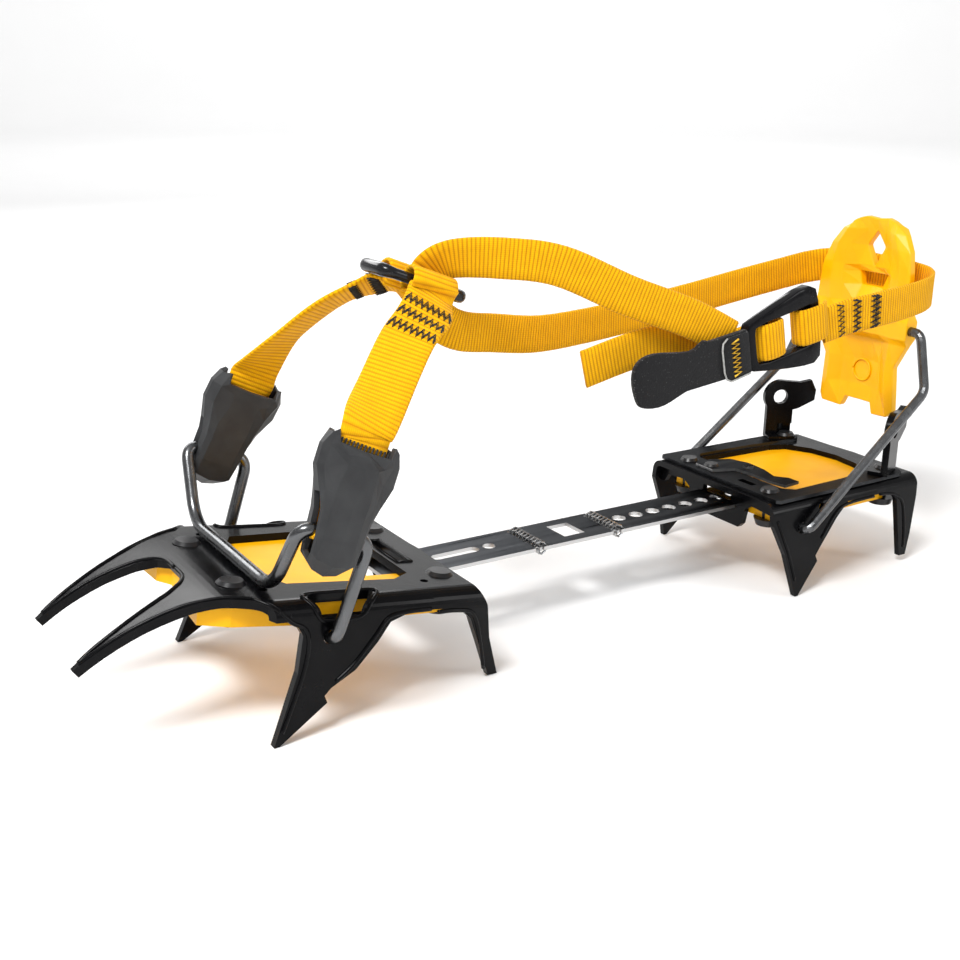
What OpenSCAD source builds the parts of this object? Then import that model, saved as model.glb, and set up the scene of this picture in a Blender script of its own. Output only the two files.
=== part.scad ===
// Ten-point crampon with a toe bail, an articulated length bar and a wire heel bail.
// X runs from toe to heel, Z is up, the points stand on Z = 0, and the
// wearer's left side is towards -Y. Places are counted from the front pair of rivets,
// and the whole part is then moved so that its middle stands over the origin.

/* [Front unit] */
// Height of the top of the front frame at its front rivets
front_h = 49.7; // [46:0.1:54]
// Slope of the front frame, nose up, in degrees
front_pitch = 8; // [6:0.5:9]
// Thickness of the black steel sheet
sheet_t = 3; // [2.5:0.1:3.5]
// Half width of the front frame over its side walls
front_half_w = 45.5; // [43:0.5:49]
// Length of the front frame behind its front rivets
front_len = 85; // [83:0.5:89]
// Reach of the two front points ahead of the front rivets
horn_reach = 51.6; // [46:0.2:58]
// Distance of the front rivets from the middle
front_rivet_y = 21.6; // [20:0.1:23]
// Distance of the rear rivets behind the front ones
rear_rivet_x = 78; // [76:0.5:79]
// Distance of the rear rivets from the middle
rear_rivet_y = 26.7; // [25:0.1:29]
// Outward lean of the side walls, in degrees
side_lean = 4; // [2:0.5:6]
// Inward lean of the rear points, in degrees
rear_lean = 11; // [7:0.5:13]
// Diameter of the rivet shanks
rivet_d = 5; // [4:0.1:5.6]
// Diameter of the rivet heads
rivet_head_d = 10.4; // [9:0.1:11]
// Height of the rivet heads
rivet_head_h = 1.2; // [0.8:0.1:1.6]
// Depth of the yellow snow plates under the frames
snow_depth = 8; // [7:0.2:9]
// Wall of the yellow snow plates
snow_wall = 2.5; // [2:0.1:3]
// Diameter of the rivet feet under the snow plates
foot_d = 12; // [10:0.5:12.5]
// Height of the rivet feet
foot_h = 3; // [2:0.1:3.5]

/* [Toe bail] */
// Diameter of the toe bail wire
bail_d = 4.6; // [4:0.1:5]
// Place of the toe bail hinge behind the front rivets
bail_x = 24.5; // [23:0.1:26]
// Height of the toe bail hinge
bail_z = 34; // [33:0.1:36]
// Height of the tops of the two bail loops
bail_top_z = 72.5; // [70:0.5:76]
// Distance of the two bail loops from the middle
bail_top_y = 52; // [51:0.5:55]
// Length of a strap cover along the strap
cover_len = 47; // [42:1:50]
// Largest width of a strap cover
cover_w = 30; // [28:0.5:33]
// Thickness of a strap cover
cover_t = 12; // [11:0.2:14]

/* [Webbing] */
// Width of the toe straps
toe_strap_w = 19; // [17:0.5:20]
// Width of the long strap
long_strap_w = 15; // [13:0.5:16]
// Thickness of the webbing
web_t = 1.6; // [1.2:0.1:1.8]
// Outer length of the strap ring
ring_len = 38; // [36:0.5:42]
// Outer width of the strap ring
ring_w = 22; // [20:0.5:24]
// Thickness of the ring rod
ring_d = 4; // [3:0.1:4.4]

/* [Length bar] */
// Width of the bar
bar_w = 23.6; // [21:0.2:25]
// Thickness of the bar plates
bar_t = 1.5; // [1.2:0.1:1.8]
// Height of the top of the bar
bar_z = 33; // [32.5:0.1:33.4]
// Place of the front spring hinge
hinge_a_x = 133.5; // [128:0.5:138]
// Place of the rear spring hinge
hinge_b_x = 172; // [168:0.5:176]
// Diameter of the length holes
hole_d = 6.2; // [5.8:0.1:6.8]
// Distance from one length hole to the next
hole_pitch = 9.08; // [8.6:0.01:9.4]
// Number of length holes
hole_count = 12; // [9:1:12]
// Diameter of the hinge spring wire
spring_wire_d = 1; // [0.8:0.05:1.1]
// Mean radius of the hinge spring coils
spring_r = 2.4; // [2.3:0.05:2.6]
// Number of turns in each hinge spring
spring_turns = 9; // [6:1:9]

/* [Heel unit] */
// Place of the front edge of the heel unit
heel_x = 235; // [232:0.5:238]
// Height of the top plate of the heel unit
heel_h = 42.5; // [41:0.1:44]
// Half width of the heel frame over its side walls
heel_half_w = 39.5; // [37:0.5:42]
// Length of the heel frame
heel_len = 85; // [83:0.5:88]
// Outward lean of the heel side walls, in degrees
heel_lean = 8; // [6:0.5:10]
// Thickness of the heel frame sheet
heel_sheet_t = 2.5; // [2.2:0.1:3]
// Thickness of the bright U-shaped top plate
top_plate_t = 1.5; // [1.2:0.1:2]
// Width of the front band of the top plate
top_band_w = 12.5; // [11:0.5:13]
// Width of the side arms of the top plate
top_arm_w = 9; // [8:0.2:10]
// Place of the heel posts behind the front edge
post_x = 68; // [67:0.5:70]
// Distance of the heel posts from the middle
post_y = 32; // [31:0.2:33]
// Turn of the heel posts about the vertical, in degrees
post_turn = 25; // [15:1:28]
// Height of the hole in the posts above the top plate
post_hole_h = 20; // [18:0.5:22]
// Diameter of the hole in the posts
post_hole_d = 7; // [6:0.1:7.5]
// Thickness of the posts
post_t = 3; // [2.5:0.1:3.2]

/* [Heel bail] */
// Diameter of the heel bail wire
wire_d = 4.2; // [3.6:0.1:4.6]
// Place of the heel bail hinge behind the front edge of the heel unit
ear_x = 12; // [11:0.1:13]
// Depth of the heel bail hinge below the top plate
ear_drop = 13.5; // [12.5:0.1:14.5]
// Height of the top rod of the heel bail
wire_top_z = 104; // [100:0.5:108]
// Place of the top rod of the heel bail
wire_top_x = 317.5; // [316:0.5:319]
// Half width of the heel cup
cup_half_w = 27.5; // [26:0.5:29]
// Radius of the back of the heel cup
cup_r = 45; // [42:1:60]
// Wall of the heel cup
cup_wall = 4; // [3:0.1:5]
// Height of the top of the heel cup
cup_top_z = 151; // [147:0.5:155]
// Height of the bottom of the heel cup
cup_bottom_z = 62; // [60:0.5:65]
// Length of the buckle
buckle_len = 39; // [38:0.5:42]
// Height of the buckle
buckle_h = 29; // [27:0.5:31]
// Length of the pull tab beyond the buckle
tab_len = 56; // [48:1:60]

/* [Clearances] */
// Gap round pins, wires and other moving fits
fit = 0.3; // [0.2:0.05:0.4]
// Gap between soft pieces and their neighbours
soft_gap = 0.4; // [0.3:0.05:0.6]

/* [Hidden] */
$fn = 48;
steel_black = "#17181a";
steel_grey = "#6f7276";
wire_grey = "#55585c";
yellow = "#f6b800";
rubber = "#3b3c3e";
floor_z = 0;
far_out = 200;
bend_r = 6;
heel_bend_r = 5;
hinge_z = bar_z - bar_t / 2;
bail_r = bail_d / 2;
wire_r = wire_d / 2;
// How far a point reaches below the sloping front frame, at a place along it
function point_drop(x) = (front_h - x * sin(front_pitch)) / cos(front_pitch);
// Height of the top of the front frame above the floor, at a place along the floor
function front_top(x) = front_h - x * tan(front_pitch);

// Reach of the webbing behind the top of the heel wire
back_reach = 13.3;
// What the downward slope of the front points adds to their reach
slope_reach = 3;
// Distance of the middle of the whole part behind the front rivets
mid_x = (wire_top_x + back_reach - horn_reach - slope_reach) / 2;
// Length of each wire foot that runs inside the bend of its rod
foot_bend = 3.8;

function unit(v) = v / norm(v);
function across(n, t) = unit(n - t * (n * t));
function mix(a, b, s) = a * (1 - s) + b * s;
function tangents(p) =
  [for (i = [0 : len(p) - 1]) unit(p[min(i + 1, len(p) - 1)] - p[max(i - 1, 0)])];
function normals(t, first) =
  [for (i = 0, n = across(first, t[0]); i < len(t);
    i = i + 1, n = i < len(t) ? across(n, t[i]) : n) n];
// Rounds each corner of a polyline over a given distance from the corner
function rounded(p, cut, steps = 4) = concat([p[0]],
  [for (i = [1 : len(p) - 2])
    let (a = p[i] + unit(p[i - 1] - p[i]) * cut, b = p[i] + unit(p[i + 1] - p[i]) * cut)
    for (k = [0 : steps]) let (s = k / steps) mix(mix(a, p[i], s), mix(p[i], b, s), s)],
  [p[len(p) - 1]]);
// One smooth curve through hand-placed points
function smooth(p, steps) = concat(
  [for (i = [0 : len(p) - 2]) let (a = p[max(i - 1, 0)], b = p[i], c = p[i + 1],
      d = p[min(i + 2, len(p) - 1)])
    for (k = [0 : steps - 1]) let (s = k / steps)
      (b * 2 + (c - a) * s + (a * 2 - b * 5 + c * 4 - d) * s * s
        + (b * 3 - a - c * 3 + d) * s * s * s) / 2],
  [p[len(p) - 1]]);
function mirrored(p) = [for (i = [len(p) - 1 : -1 : 0]) [p[i][0], -p[i][1], p[i][2]]];

// Skins a row of closed rings that all have the same number of points
module skin(rings) {
  m = len(rings[0]);
  last = (len(rings) - 1) * m;
  sides = [for (i = [0 : len(rings) - 2]) for (k = [0 : m - 1])
    let (a = i * m + k, b = i * m + (k + 1) % m)
    each [[a, a + m, b + m], [a, b + m, b]]];
  polyhedron([for (ring = rings) each ring], concat(sides, [[for (k = [0 : m - 1]) k]],
    [[for (k = [m - 1 : -1 : 0]) last + k]]));
}

// A round rod along a path
module rod(path, r, sides = 10, first = [0, 0, 1]) {
  t = tangents(path);
  n = normals(t, first);
  skin([for (i = [0 : len(path) - 1]) [for (k = [0 : sides - 1]) let (a = 360 * k / sides)
    path[i] + n[i] * (r * cos(a)) + cross(t[i], n[i]) * (r * sin(a))]]);
}

// A flat band along a path, with its width along the side vectors
module band(path, side, w, t) {
  tan_v = tangents(path);
  skin([for (i = [0 : len(path) - 1]) let (s = across(side[i], tan_v[i]),
      n = cross(tan_v[i], s))
    [for (c = [[-1, -1], [1, -1], [1, 1], [-1, 1]])
      path[i] + s * (c[0] * w / 2) + n * (c[1] * t / 2)]]);
}

module in_front_frame() {
  translate([0, 0, front_h])
    rotate([0, front_pitch, 0])
      children();
}

module in_heel_frame() {
  translate([heel_x, 0, heel_h])
    children();
}

module both_sides() {
  children();
  mirror([0, 1, 0]) children();
}

// Half section of a sheet that runs out flat, bends down and goes on as a wall
module wall_section(half_w, r, lean, depth, t) {
  c = [half_w - r, -r];
  out = [cos(lean), sin(lean)];
  down = [sin(lean), -cos(lean)];
  arc_steps = 8;
  outer = [for (i = [0 : arc_steps]) let (a = 90 + (lean - 90) * i / arc_steps)
    c + r * [cos(a), sin(a)]];
  inner = [for (i = [arc_steps : -1 : 0]) let (a = 90 + (lean - 90) * i / arc_steps)
    c + (r - t) * [cos(a), sin(a)]];
  polygon(concat([[0, 0]], outer, [c + out * r + down * depth,
    c + out * (r - t) + down * depth], inner, [[0, -t]]));
}

// The bent sheet over a stretch of X, cut to the outline given as a child
module bent_sheet(x0, x1, half_w, r, lean, t) {
  intersection() {
    translate([x0, 0, 0])
      rotate([90, 0, 90])
        linear_extrude(x1 - x0)
          both_sides_flat() wall_section(half_w, r, lean, 60, t);
    children();
  }
}

module both_sides_flat() {
  children();
  mirror([1, 0]) children();
}

module along_z(z0, z1) {
  translate([0, 0, z0])
    linear_extrude(z1 - z0)
      children();
}

module along_y(half_w) {
  rotate([90, 0, 0])
    linear_extrude(half_w * 2, center = true)
      children();
}

// Front unit: places, in the frame's own sloping coordinates
rivet_spots = [[0, -front_rivet_y], [0, front_rivet_y],
  [rear_rivet_x, -rear_rivet_y], [rear_rivet_x, rear_rivet_y]];
crotch_x = -10.8;
side_tip_x = 9.4;
rear_tip_x = front_len + 12.5;
split_x = 66;
window_front_x = 12.5;
window_rear_x = 66;
keeper_x = 74;
keeper_t = 2.5;
bail_hole = [bail_x * cos(front_pitch) - (bail_z - front_h) * sin(front_pitch),
  bail_x * sin(front_pitch) + (bail_z - front_h) * cos(front_pitch)];

// Top outline of the front points, at half width
horn_half = [[crotch_x, 0], [crotch_x, 7], [crotch_x - 3, 11.5], [-20, 15],
  [-30, 18], [-42, 20.2], [-horn_reach, 21.4], [-horn_reach, 23.6], [-42, 25.6], [-30, 28],
  [-17, 31.2], [-8, 34.4], [0.01, 39]];
body_half = [[0, 0], [0, 39], [5, 42], [9, 50], [front_len - 7, 50], [front_len - 3, 40],
  [front_len - 1.5, 20], [front_len, 0]];
window_half = [[window_front_x, 0], [window_front_x, 16], [18, 26], [58, 29],
  [window_rear_x, 24], [window_rear_x, 0]];
wall_outline = [[4, 2], [8, -1.5], [12.5, -5], [16.4, -11], [15.4, -24],
  [side_tip_x - 0.7, -point_drop(side_tip_x)], [side_tip_x - 0.7, -60], [side_tip_x + 1, -60],
  [side_tip_x + 1, -point_drop(side_tip_x)], [27, -35.3], [25.8, -32.8], [28, -30.3],
  [36.8, -24.8], [44.6, -15.6], [48.9, -9],
  [55.7, -6.4], [split_x, -6], [split_x, 2]];
rear_outline = [[split_x, 2], [split_x, -6], [front_len - 9, -6.5], [front_len - 3, -11],
  [front_len + 4.5, -24], [rear_tip_x - 1, -point_drop(rear_tip_x)], [rear_tip_x - 1, -60],
  [rear_tip_x + 3, -60], [rear_tip_x + 3, -point_drop(rear_tip_x)], [front_len + 7.5, -20],
  [front_len + 3, -6], [front_len + 0.5, -1.5], [front_len - 2, 2]];
side_slot = [[19, 40], [21, 38], [43, 38], [44, 40], [31, 50], [26, 50]];

// Outline made of a half with its mirror image, where only the end points lie on the middle
module mirrored_outline(half) {
  polygon(concat(half,
    [for (i = [len(half) - 1 : -1 : 0]) if (half[i][1] > 0) [half[i][0], -half[i][1]]]));
}

// Side view of the curved front points: two arcs, the second flatter
module horn_side() {
  a1 = 22;
  a2 = 44;
  r1 = 48;
  r2 = (horn_reach - r1 * sin(a1)) / (sin(a2) - sin(a1));
  c1 = [0, -r1];
  c2 = c1 + (r1 - r2) * [-sin(a1), cos(a1)];
  steps = 8;
  top = concat([for (i = [0 : steps]) let (a = a1 * i / steps) c1 + r1 * [-sin(a), cos(a)]],
    [for (i = [1 : steps]) let (a = a1 + (a2 - a1) * i / steps) c2 + r2 * [-sin(a), cos(a)]]);
  low = concat([for (i = [steps : -1 : 1]) let (a = a1 + (a2 - a1) * i / steps)
    c2 + (r2 - sheet_t) * [-sin(a), cos(a)]],
    [for (i = [steps : -1 : 0]) let (a = a1 * i / steps)
      c1 + (r1 - sheet_t) * [-sin(a), cos(a)]]);
  polygon(concat([[0.01, 0]], top, low, [[0.01, -sheet_t]]));
}

module front_frame() {
  color(steel_black)
    difference() {
      intersection() {
        in_front_frame() front_sheet();
        translate([-far_out / 2, -far_out / 2, floor_z]) cube(far_out);
      }
      translate([bail_x, 0, bail_z])
        rotate([90, 0, 0])
          cylinder(h = far_out, d = bail_d + 2 * fit, center = true);
    }
}

module front_sheet() {
  difference() {
    union() {
      intersection() {
        along_y(far_out / 2) horn_side();
        along_z(-far_out / 2, 5) mirrored_outline(horn_half);
      }
      bent_sheet(0, split_x, front_half_w, bend_r, side_lean, sheet_t)
        union() {
          along_z(-bend_r, 1) mirrored_outline(body_half);
          along_y(far_out / 2) polygon(wall_outline);
        }
      bent_sheet(split_x, front_len + 20, front_half_w, bend_r, -rear_lean, sheet_t)
        union() {
          along_z(-bend_r, 1) mirrored_outline(body_half);
          along_y(far_out / 2) polygon(rear_outline);
        }
      keeper();
    }
    along_z(-bend_r - 1, 2) mirrored_outline(window_half);
    both_sides() along_z(-bend_r + 0.5, 2) polygon(side_slot);
    for (spot = rivet_spots) {
      translate([spot[0], spot[1], -10]) cylinder(h = 20, d = rivet_d + fit);
    }
    for (spot = [[8, 30], [split_x + 2, 33]]) {
      both_sides() translate([spot[0], spot[1], -10]) cylinder(h = 20, d = 3);
    }
    translate([keeper_x - 5, -12, -10]) cube([4, 24, 20]);
  }
}

// Loop under the rear bridge that holds the front end of the bar
module keeper() {
  loop_half = bar_w / 2 + 3;
  low = -(front_top(keeper_x) - hinge_z) - 3.4;
  difference() {
    translate([keeper_x, -loop_half, low]) cube([keeper_t, loop_half * 2, -low - 0.5]);
    rotate([0, -front_pitch, 0])
      translate([0, -bar_w / 2 - fit, bar_z - bar_t - fit - front_h])
        cube([far_out, bar_w + 2 * fit, bar_t + 2 * fit]);
  }
}

snow_front_half = [[crotch_x + 1.5, 0], [crotch_x + 1.5, 9], [-13, 14], [-14, 29], [-4, 33.5],
  [16, 36.5], [front_len - 14, 36.5], [front_len - 3, 34], [front_len - 3, 0]];

module front_snow_plate() {
  color(yellow)
    in_front_frame()
      difference() {
        along_z(-sheet_t - snow_depth, -sheet_t) mirrored_outline(snow_front_half);
        along_z(-sheet_t - snow_depth - 1, -sheet_t - snow_wall)
          translate([snow_wall, 0])
            difference() {
              scale([0.93, 0.93]) mirrored_outline(snow_front_half);
              for (spot = rivet_spots) {
                translate([spot[0] - snow_wall, spot[1]]) circle(d = foot_d);
              }
            }
        along_z(-far_out / 2, -1)
          translate([window_rear_x - 12, -bar_w / 2 - 4.5])
            square([far_out, bar_w + 9]);
        along_y(far_out / 2) horn_side();
        for (spot = rivet_spots) {
          translate([spot[0], spot[1], -30]) cylinder(h = 40, d = rivet_d + fit);
        }
      }
}

module front_rivets() {
  color(steel_black)
    in_front_frame()
      for (spot = rivet_spots) {
        translate([spot[0], spot[1], 0]) cylinder(h = rivet_head_h, d1 = rivet_head_d,
          d2 = rivet_head_d - 2.4);
        translate([spot[0], spot[1], -sheet_t - snow_depth - foot_h / 2])
          cylinder(h = sheet_t + snow_depth + foot_h / 2 + 0.2, d = rivet_d);
      }
}

module front_rivet_feet() {
  color(rubber)
    in_front_frame()
      for (spot = rivet_spots) {
        translate([spot[0], spot[1], -sheet_t - snow_depth - foot_h])
          difference() {
            cylinder(h = foot_h, d1 = foot_d - 2, d2 = foot_d);
            translate([0, 0, foot_h / 2 - 0.1]) cylinder(h = foot_h, d = rivet_d + fit);
          }
      }
}

// Length bar
tee_w = bar_w + 8;
tee_x = keeper_x - 9;
web_hole_d = spring_wire_d + 1.1;
edge_gap = 0.6;
coil_pitch = (bar_w - 3) / spring_turns;

module coil_holes(x, side) {
  for (i = [0 : spring_turns]) {
    translate([x + side * spring_r, -bar_w / 2 + 1.5 + coil_pitch * i - coil_shift(side), bar_z])
      cylinder(h = 3 * bar_t, d = web_hole_d, center = true, $fn = 24);
  }
}

function coil_shift(side) = side > 0 ? 0 : coil_pitch / 2;

module bar_plate(x0, x1) {
  translate([x0, -bar_w / 2, bar_z - bar_t]) cube([x1 - x0, bar_w, bar_t]);
}

module bar_front_plate() {
  color(steel_grey)
    difference() {
      union() {
        bar_plate(tee_x, hinge_a_x - edge_gap);
        translate([tee_x, -tee_w / 2, bar_z - bar_t]) cube([5.5, tee_w, bar_t]);
      }
      coil_holes(hinge_a_x, -1);
      along_z(bar_z - 2 * bar_t, bar_z + bar_t) {
        translate([92, -2.6]) square([16, 5.2]);
        translate([92, 0]) circle(d = 5.2);
        translate([108, 0]) circle(d = 5.2);
        translate([115.5, 0]) circle(d = 5.4);
      }
    }
}

module bar_middle_plate() {
  mid = (hinge_a_x + hinge_b_x) / 2;
  color(steel_grey)
    difference() {
      bar_plate(hinge_a_x + edge_gap, hinge_b_x - edge_gap);
      coil_holes(hinge_a_x, 1);
      coil_holes(hinge_b_x, -1);
      translate([mid - 5, -6.5, bar_z - 2 * bar_t]) cube([10, 13, 3 * bar_t]);
    }
}

peg_x = 18;
first_hole_x = heel_x + peg_x - 8 * hole_pitch;
bar_end_x = first_hole_x + (hole_count - 1) * hole_pitch + 6.5;

module bar_rear_plate() {
  color(steel_grey)
    difference() {
      bar_plate(hinge_b_x + edge_gap, bar_end_x);
      coil_holes(hinge_b_x, 1);
      for (i = [0 : hole_count - 1]) {
        translate([first_hole_x + i * hole_pitch, 0, bar_z - 2 * bar_t])
          cylinder(h = 4 * bar_t, d = hole_d);
      }
    }
}

// One open coil spring, wound through the edge holes of two plates
coil_steps = 8;
function coil_path(x) = [for (i = [0 : spring_turns * coil_steps])
  let (a = 180 + 360 * i / coil_steps)
  [x + spring_r * cos(a), -bar_w / 2 + 1.5 - coil_pitch / 2 + coil_pitch * i / coil_steps,
    hinge_z + spring_r * sin(a)]];

module hinge_spring(x) {
  color(wire_grey) rod(coil_path(x), spring_wire_d / 2, 6, [0, 1, 0]);
}
module hinge_spring_front() { hinge_spring(hinge_a_x); }
module hinge_spring_rear() { hinge_spring(hinge_b_x); }
echo(spring_gap_to_itself = min([for (i = [0 : coil_steps - 1])
  let (p = coil_path(0)) norm(p[i + coil_steps] - p[i])]) - spring_wire_d);

// Toe bail: two loops joined by a cross rod that rests on the front frame
wall_y_at_bail = front_half_w - bend_r + bend_r * cos(side_lean)
  + (-bail_hole[1] - bend_r) * tan(side_lean);
bail_leg_y = wall_y_at_bail + bail_r + 0.8;
cross_x = 8.6;
cross_z = front_top(cross_x) + bail_r / cos(front_pitch) + fit;
loop_slope = 21;
apex = [bail_x, -bail_top_y, bail_top_z];
apex_half = 13;
cross_half = 36;
apex_dir = [cos(loop_slope), 0, -sin(loop_slope)];
pin_in = 7;
bail_half = rounded([[bail_x, -bail_leg_y + 4, bail_z], [bail_x, -bail_leg_y - 0.6, bail_z],
  apex + apex_dir * apex_half, apex - apex_dir * apex_half,
  [cross_x, -cross_half, cross_z], [cross_x, 0, cross_z]], 4);

module toe_bail() {
  color(wire_grey) {
    rod(concat(bail_half, [for (i = [1 : len(bail_half) - 1]) mirrored(bail_half)[i]]),
      bail_r, 12, [1, 0, 0]);
    both_sides()
      translate([bail_x, -bail_leg_y + foot_bend, bail_z])
        rotate([-90, 0, 0])
          cylinder(h = pin_in - foot_bend, r = bail_r);
  }
}

// Rubber cover of a strap end, in its own frame with the loop top at the origin
cover_tilt = [-10, loop_slope, 0];
cover_lean = 5;
cover_low = -15;
cover_high = cover_len + cover_low;

module cover_outline(inset) {
  h = cover_w / 2 - inset;
  polygon([[-h, 19], [-h, 27], [-h + 4, cover_high - inset], [h - 4, cover_high - inset],
    [h, 27], [h, 19], [h - 4.5, 8], [-h + 4.5, 8]]);
}

module strap_cover() {
  lobe_r = 9;
  slot_gap = 2 * soft_gap;
  difference() {
    rotate([0, cover_lean, 0]) {
      hull() {
        rotate([90, 0, 0]) translate([0, 0, -cover_t / 2]) linear_extrude(cover_t - 4)
          cover_outline(0);
        rotate([90, 0, 0]) translate([0, 0, cover_t / 2 - 0.5]) linear_extrude(0.5)
          cover_outline(4);
      }
      hull() {
        for (x = [-1, 1]) {
          translate([x, 0, cover_low + lobe_r]) rotate([90, 0, 0])
            cylinder(h = cover_t - 2, r = lobe_r - 2, center = true, $fn = 24);
        }
        translate([-lobe_r, -cover_t / 2 + 1, 6]) cube([lobe_r * 2, cover_t - 2, 6]);
      }
    }
    rotate([0, cover_lean, 0])
      translate([-toe_strap_w / 2 - slot_gap, -web_t / 2 - slot_gap, cover_high - 11])
        cube([toe_strap_w + 2 * slot_gap, web_t + 2 * slot_gap, 20]);
    rotate([0, 90, 0])
      cylinder(h = 60, d = bail_d + 2 * fit, center = true);
  }
}

module near_strap_cover() {
  color(rubber)
    translate(apex)
      rotate([0, cover_tilt[1], 0])
        rotate([cover_tilt[0], 0, 0])
          strap_cover();
}

module far_strap_cover() {
  mirror([0, 1, 0]) near_strap_cover();
}

// Webbing: routes are round numbers chosen by hand
full_lean = cover_tilt[1] + cover_lean;
cover_axis = unit([sin(full_lean), -sin(cover_tilt[0]), cos(full_lean)]);
strap_start = apex + cover_axis * (cover_high - 10);
strap_mouth = apex + cover_axis * (cover_high - 2);
strap_exit = apex + cover_axis * (cover_high + 4);
cover_side = [cos(full_lean), 0, -sin(full_lean)];
entry = [strap_start, strap_mouth, strap_exit];
ring_mid = [82, 0, 141];
ring_t = 3;
ring_tilt = loop_slope;
ring_side = [cos(ring_tilt), 0, -sin(ring_tilt)];
ring_bar_y = ring_w / 2 - ring_d / 2;
ring_bar = ring_mid + ring_side * 1.5 + [0, -ring_bar_y, 0];
ring_up = [sin(ring_tilt), 0, cos(ring_tilt)];
loop_r = norm([ring_d, ring_t]) / 2 + web_t / 2 + 3 * soft_gap;
ring_turns = [for (a = [-40 : 48 : 248])
  ring_bar + [0, -loop_r * cos(a), 0] + ring_up * (loop_r * sin(a))];
near_toe_route = concat(entry, [[51, -36, 113], [65, -26, 126], [76.5, -19, 133]], ring_turns);
far_toe_route = concat(entry, [[47, -36, 117], [61, -26, 130.5], [75, -18.5, 137.5]], ring_turns);

module toe_strap(route) {
  path = smooth(route, 3);
  side = [for (i = [0 : len(path) - 1]) mix(cover_side, ring_side, min(1, max(0, i - 6) / 6))];
  color(yellow) band(path, side, toe_strap_w, web_t);
}

module near_toe_strap() {
  toe_strap(near_toe_route);
}

module far_toe_strap() {
  mirror([0, 1, 0]) toe_strap(far_toe_route);
}

module strap_ring() {
  color(steel_black)
    translate(ring_mid)
      rotate([0, ring_tilt, 0])
        difference() {
          ring_plate(ring_len, ring_w, 5);
          ring_plate(ring_len - 2 * ring_d, ring_w - 2 * ring_d, 2);
        }
}

module ring_plate(l, w, r) {
  h = r < 5 ? ring_t * 2 : ring_t;
  translate([0, 0, -h / 2])
    linear_extrude(h) {
      square([l - 2 * r, w], center = true);
      square([l, w - 2 * r], center = true);
      for (x = [-1, 1], y = [-1, 1]) {
        translate([x * (l / 2 - r), y * (w / 2 - r)]) circle(r);
      }
    }
}

far_route = [[300, 34, 123], [270, 34.5, 119], [240, 31, 116], [205, 27, 113], [175, 21, 112],
  [145, 13, 113], [120, 7, 117], [104, 3, 120], [94, 1.2, 125]];
ring_pass = [[88, 0.4, 132], [86.5, 0, 139], [88.5, -1, 145]];
near_route = [[96, -5, 148.5], [112, -13, 148.5], [131, -21.5, 145.5], [156, -30, 134],
  [182, -35.2, 124], [201, -37.4, 114.5]];

module long_strap() {
  path = smooth(concat(far_route, ring_pass, near_route), 3);
  steps = 3;
  first = len(far_route) - 2;
  last = len(far_route) + len(ring_pass) + 1;
  side = [for (i = [0 : len(path) - 1])
    let (s = min(1, max(0, (i / steps - first) / (last - first)))) [sin(180 * s), 0, cos(180 * s)]];
  color(yellow) band(path, side, long_strap_w, web_t);
}

rear_route = [[250, -38.6, 115], [264, -39.5, 117.8], [282, -40, 119.5], [301, -38.5, 121],
  [317, -35, 122.5], [327, -27, 124], [330, -14, 125], [328.5, 0, 126], [327, 14, 126.5],
  [321, 26, 126.5], [312, 32, 125], [301.5, 34, 123.2]];

module rear_strap_loop() {
  path = smooth(rear_route, 3);
  color(yellow) band(path, [for (p = path) [0, 0, 1]], long_strap_w, web_t);
}

tail_route = [[204.5, -33.2, 114], [190, -30.5, 115], [166, -27.5, 113], [140, -25.5, 107]];

module strap_tail() {
  path = smooth(tail_route, 3);
  color(yellow) band(path, [for (p = path) [0, 0, 1]], long_strap_w, web_t);
}

// Heel unit, in its own frame: X from its front edge, Z down from the top plate
ear_tip_x = 8;
heel_tip_x = 81.5;
heel_rivet = [post_x + 3, post_y - 1.5];
frame_top = -top_plate_t;
heel_window_x = 74;
rear_tip_level = 3 - heel_h - frame_top;
ear_outline = [[-4, 3], [-4, -9], [2, -22], [ear_tip_x - 0.8, -heel_h - frame_top],
  [ear_tip_x - 0.8, -60], [ear_tip_x + 0.8, -60], [ear_tip_x + 0.8, -heel_h - frame_top],
  [20.8, -28], [19.8, -25.5], [21.5, -23.5], [33, -11],
  [40, -5.2], [58, -5.2], [58, 3]];
heel_rear_outline = [[58, 3], [58, -5.2], [68, -6], [heel_tip_x - 10, -9.5],
  [heel_tip_x - 4, rear_tip_level],
  [heel_tip_x, rear_tip_level], [heel_tip_x + 1.6, -28], [heel_tip_x + 3, -10],
  [heel_tip_x + 2.5, 3]];
heel_out_half = [[0, 0], [0, 34], [2, 60], [heel_len - 10, 60], [heel_len - 4, 26],
  [heel_len - 1, 14], [heel_len, 0]];
heel_window_half = [[top_band_w, 0], [top_band_w, 22], [17, 29.5], [58, 28], [66, 25],
  [heel_window_x - 2, 14], [heel_window_x, 0]];

module heel_frame() {
  color(steel_black)
    difference() {
      intersection() {
        in_heel_frame() heel_sheet();
        translate([heel_x - far_out / 2, -far_out / 2, floor_z]) cube(far_out);
      }
      translate([heel_x + ear_x, 0, heel_h - ear_drop])
        rotate([90, 0, 0])
          cylinder(h = far_out, d = wire_d + 2 * fit, center = true);
    }
}

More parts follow.
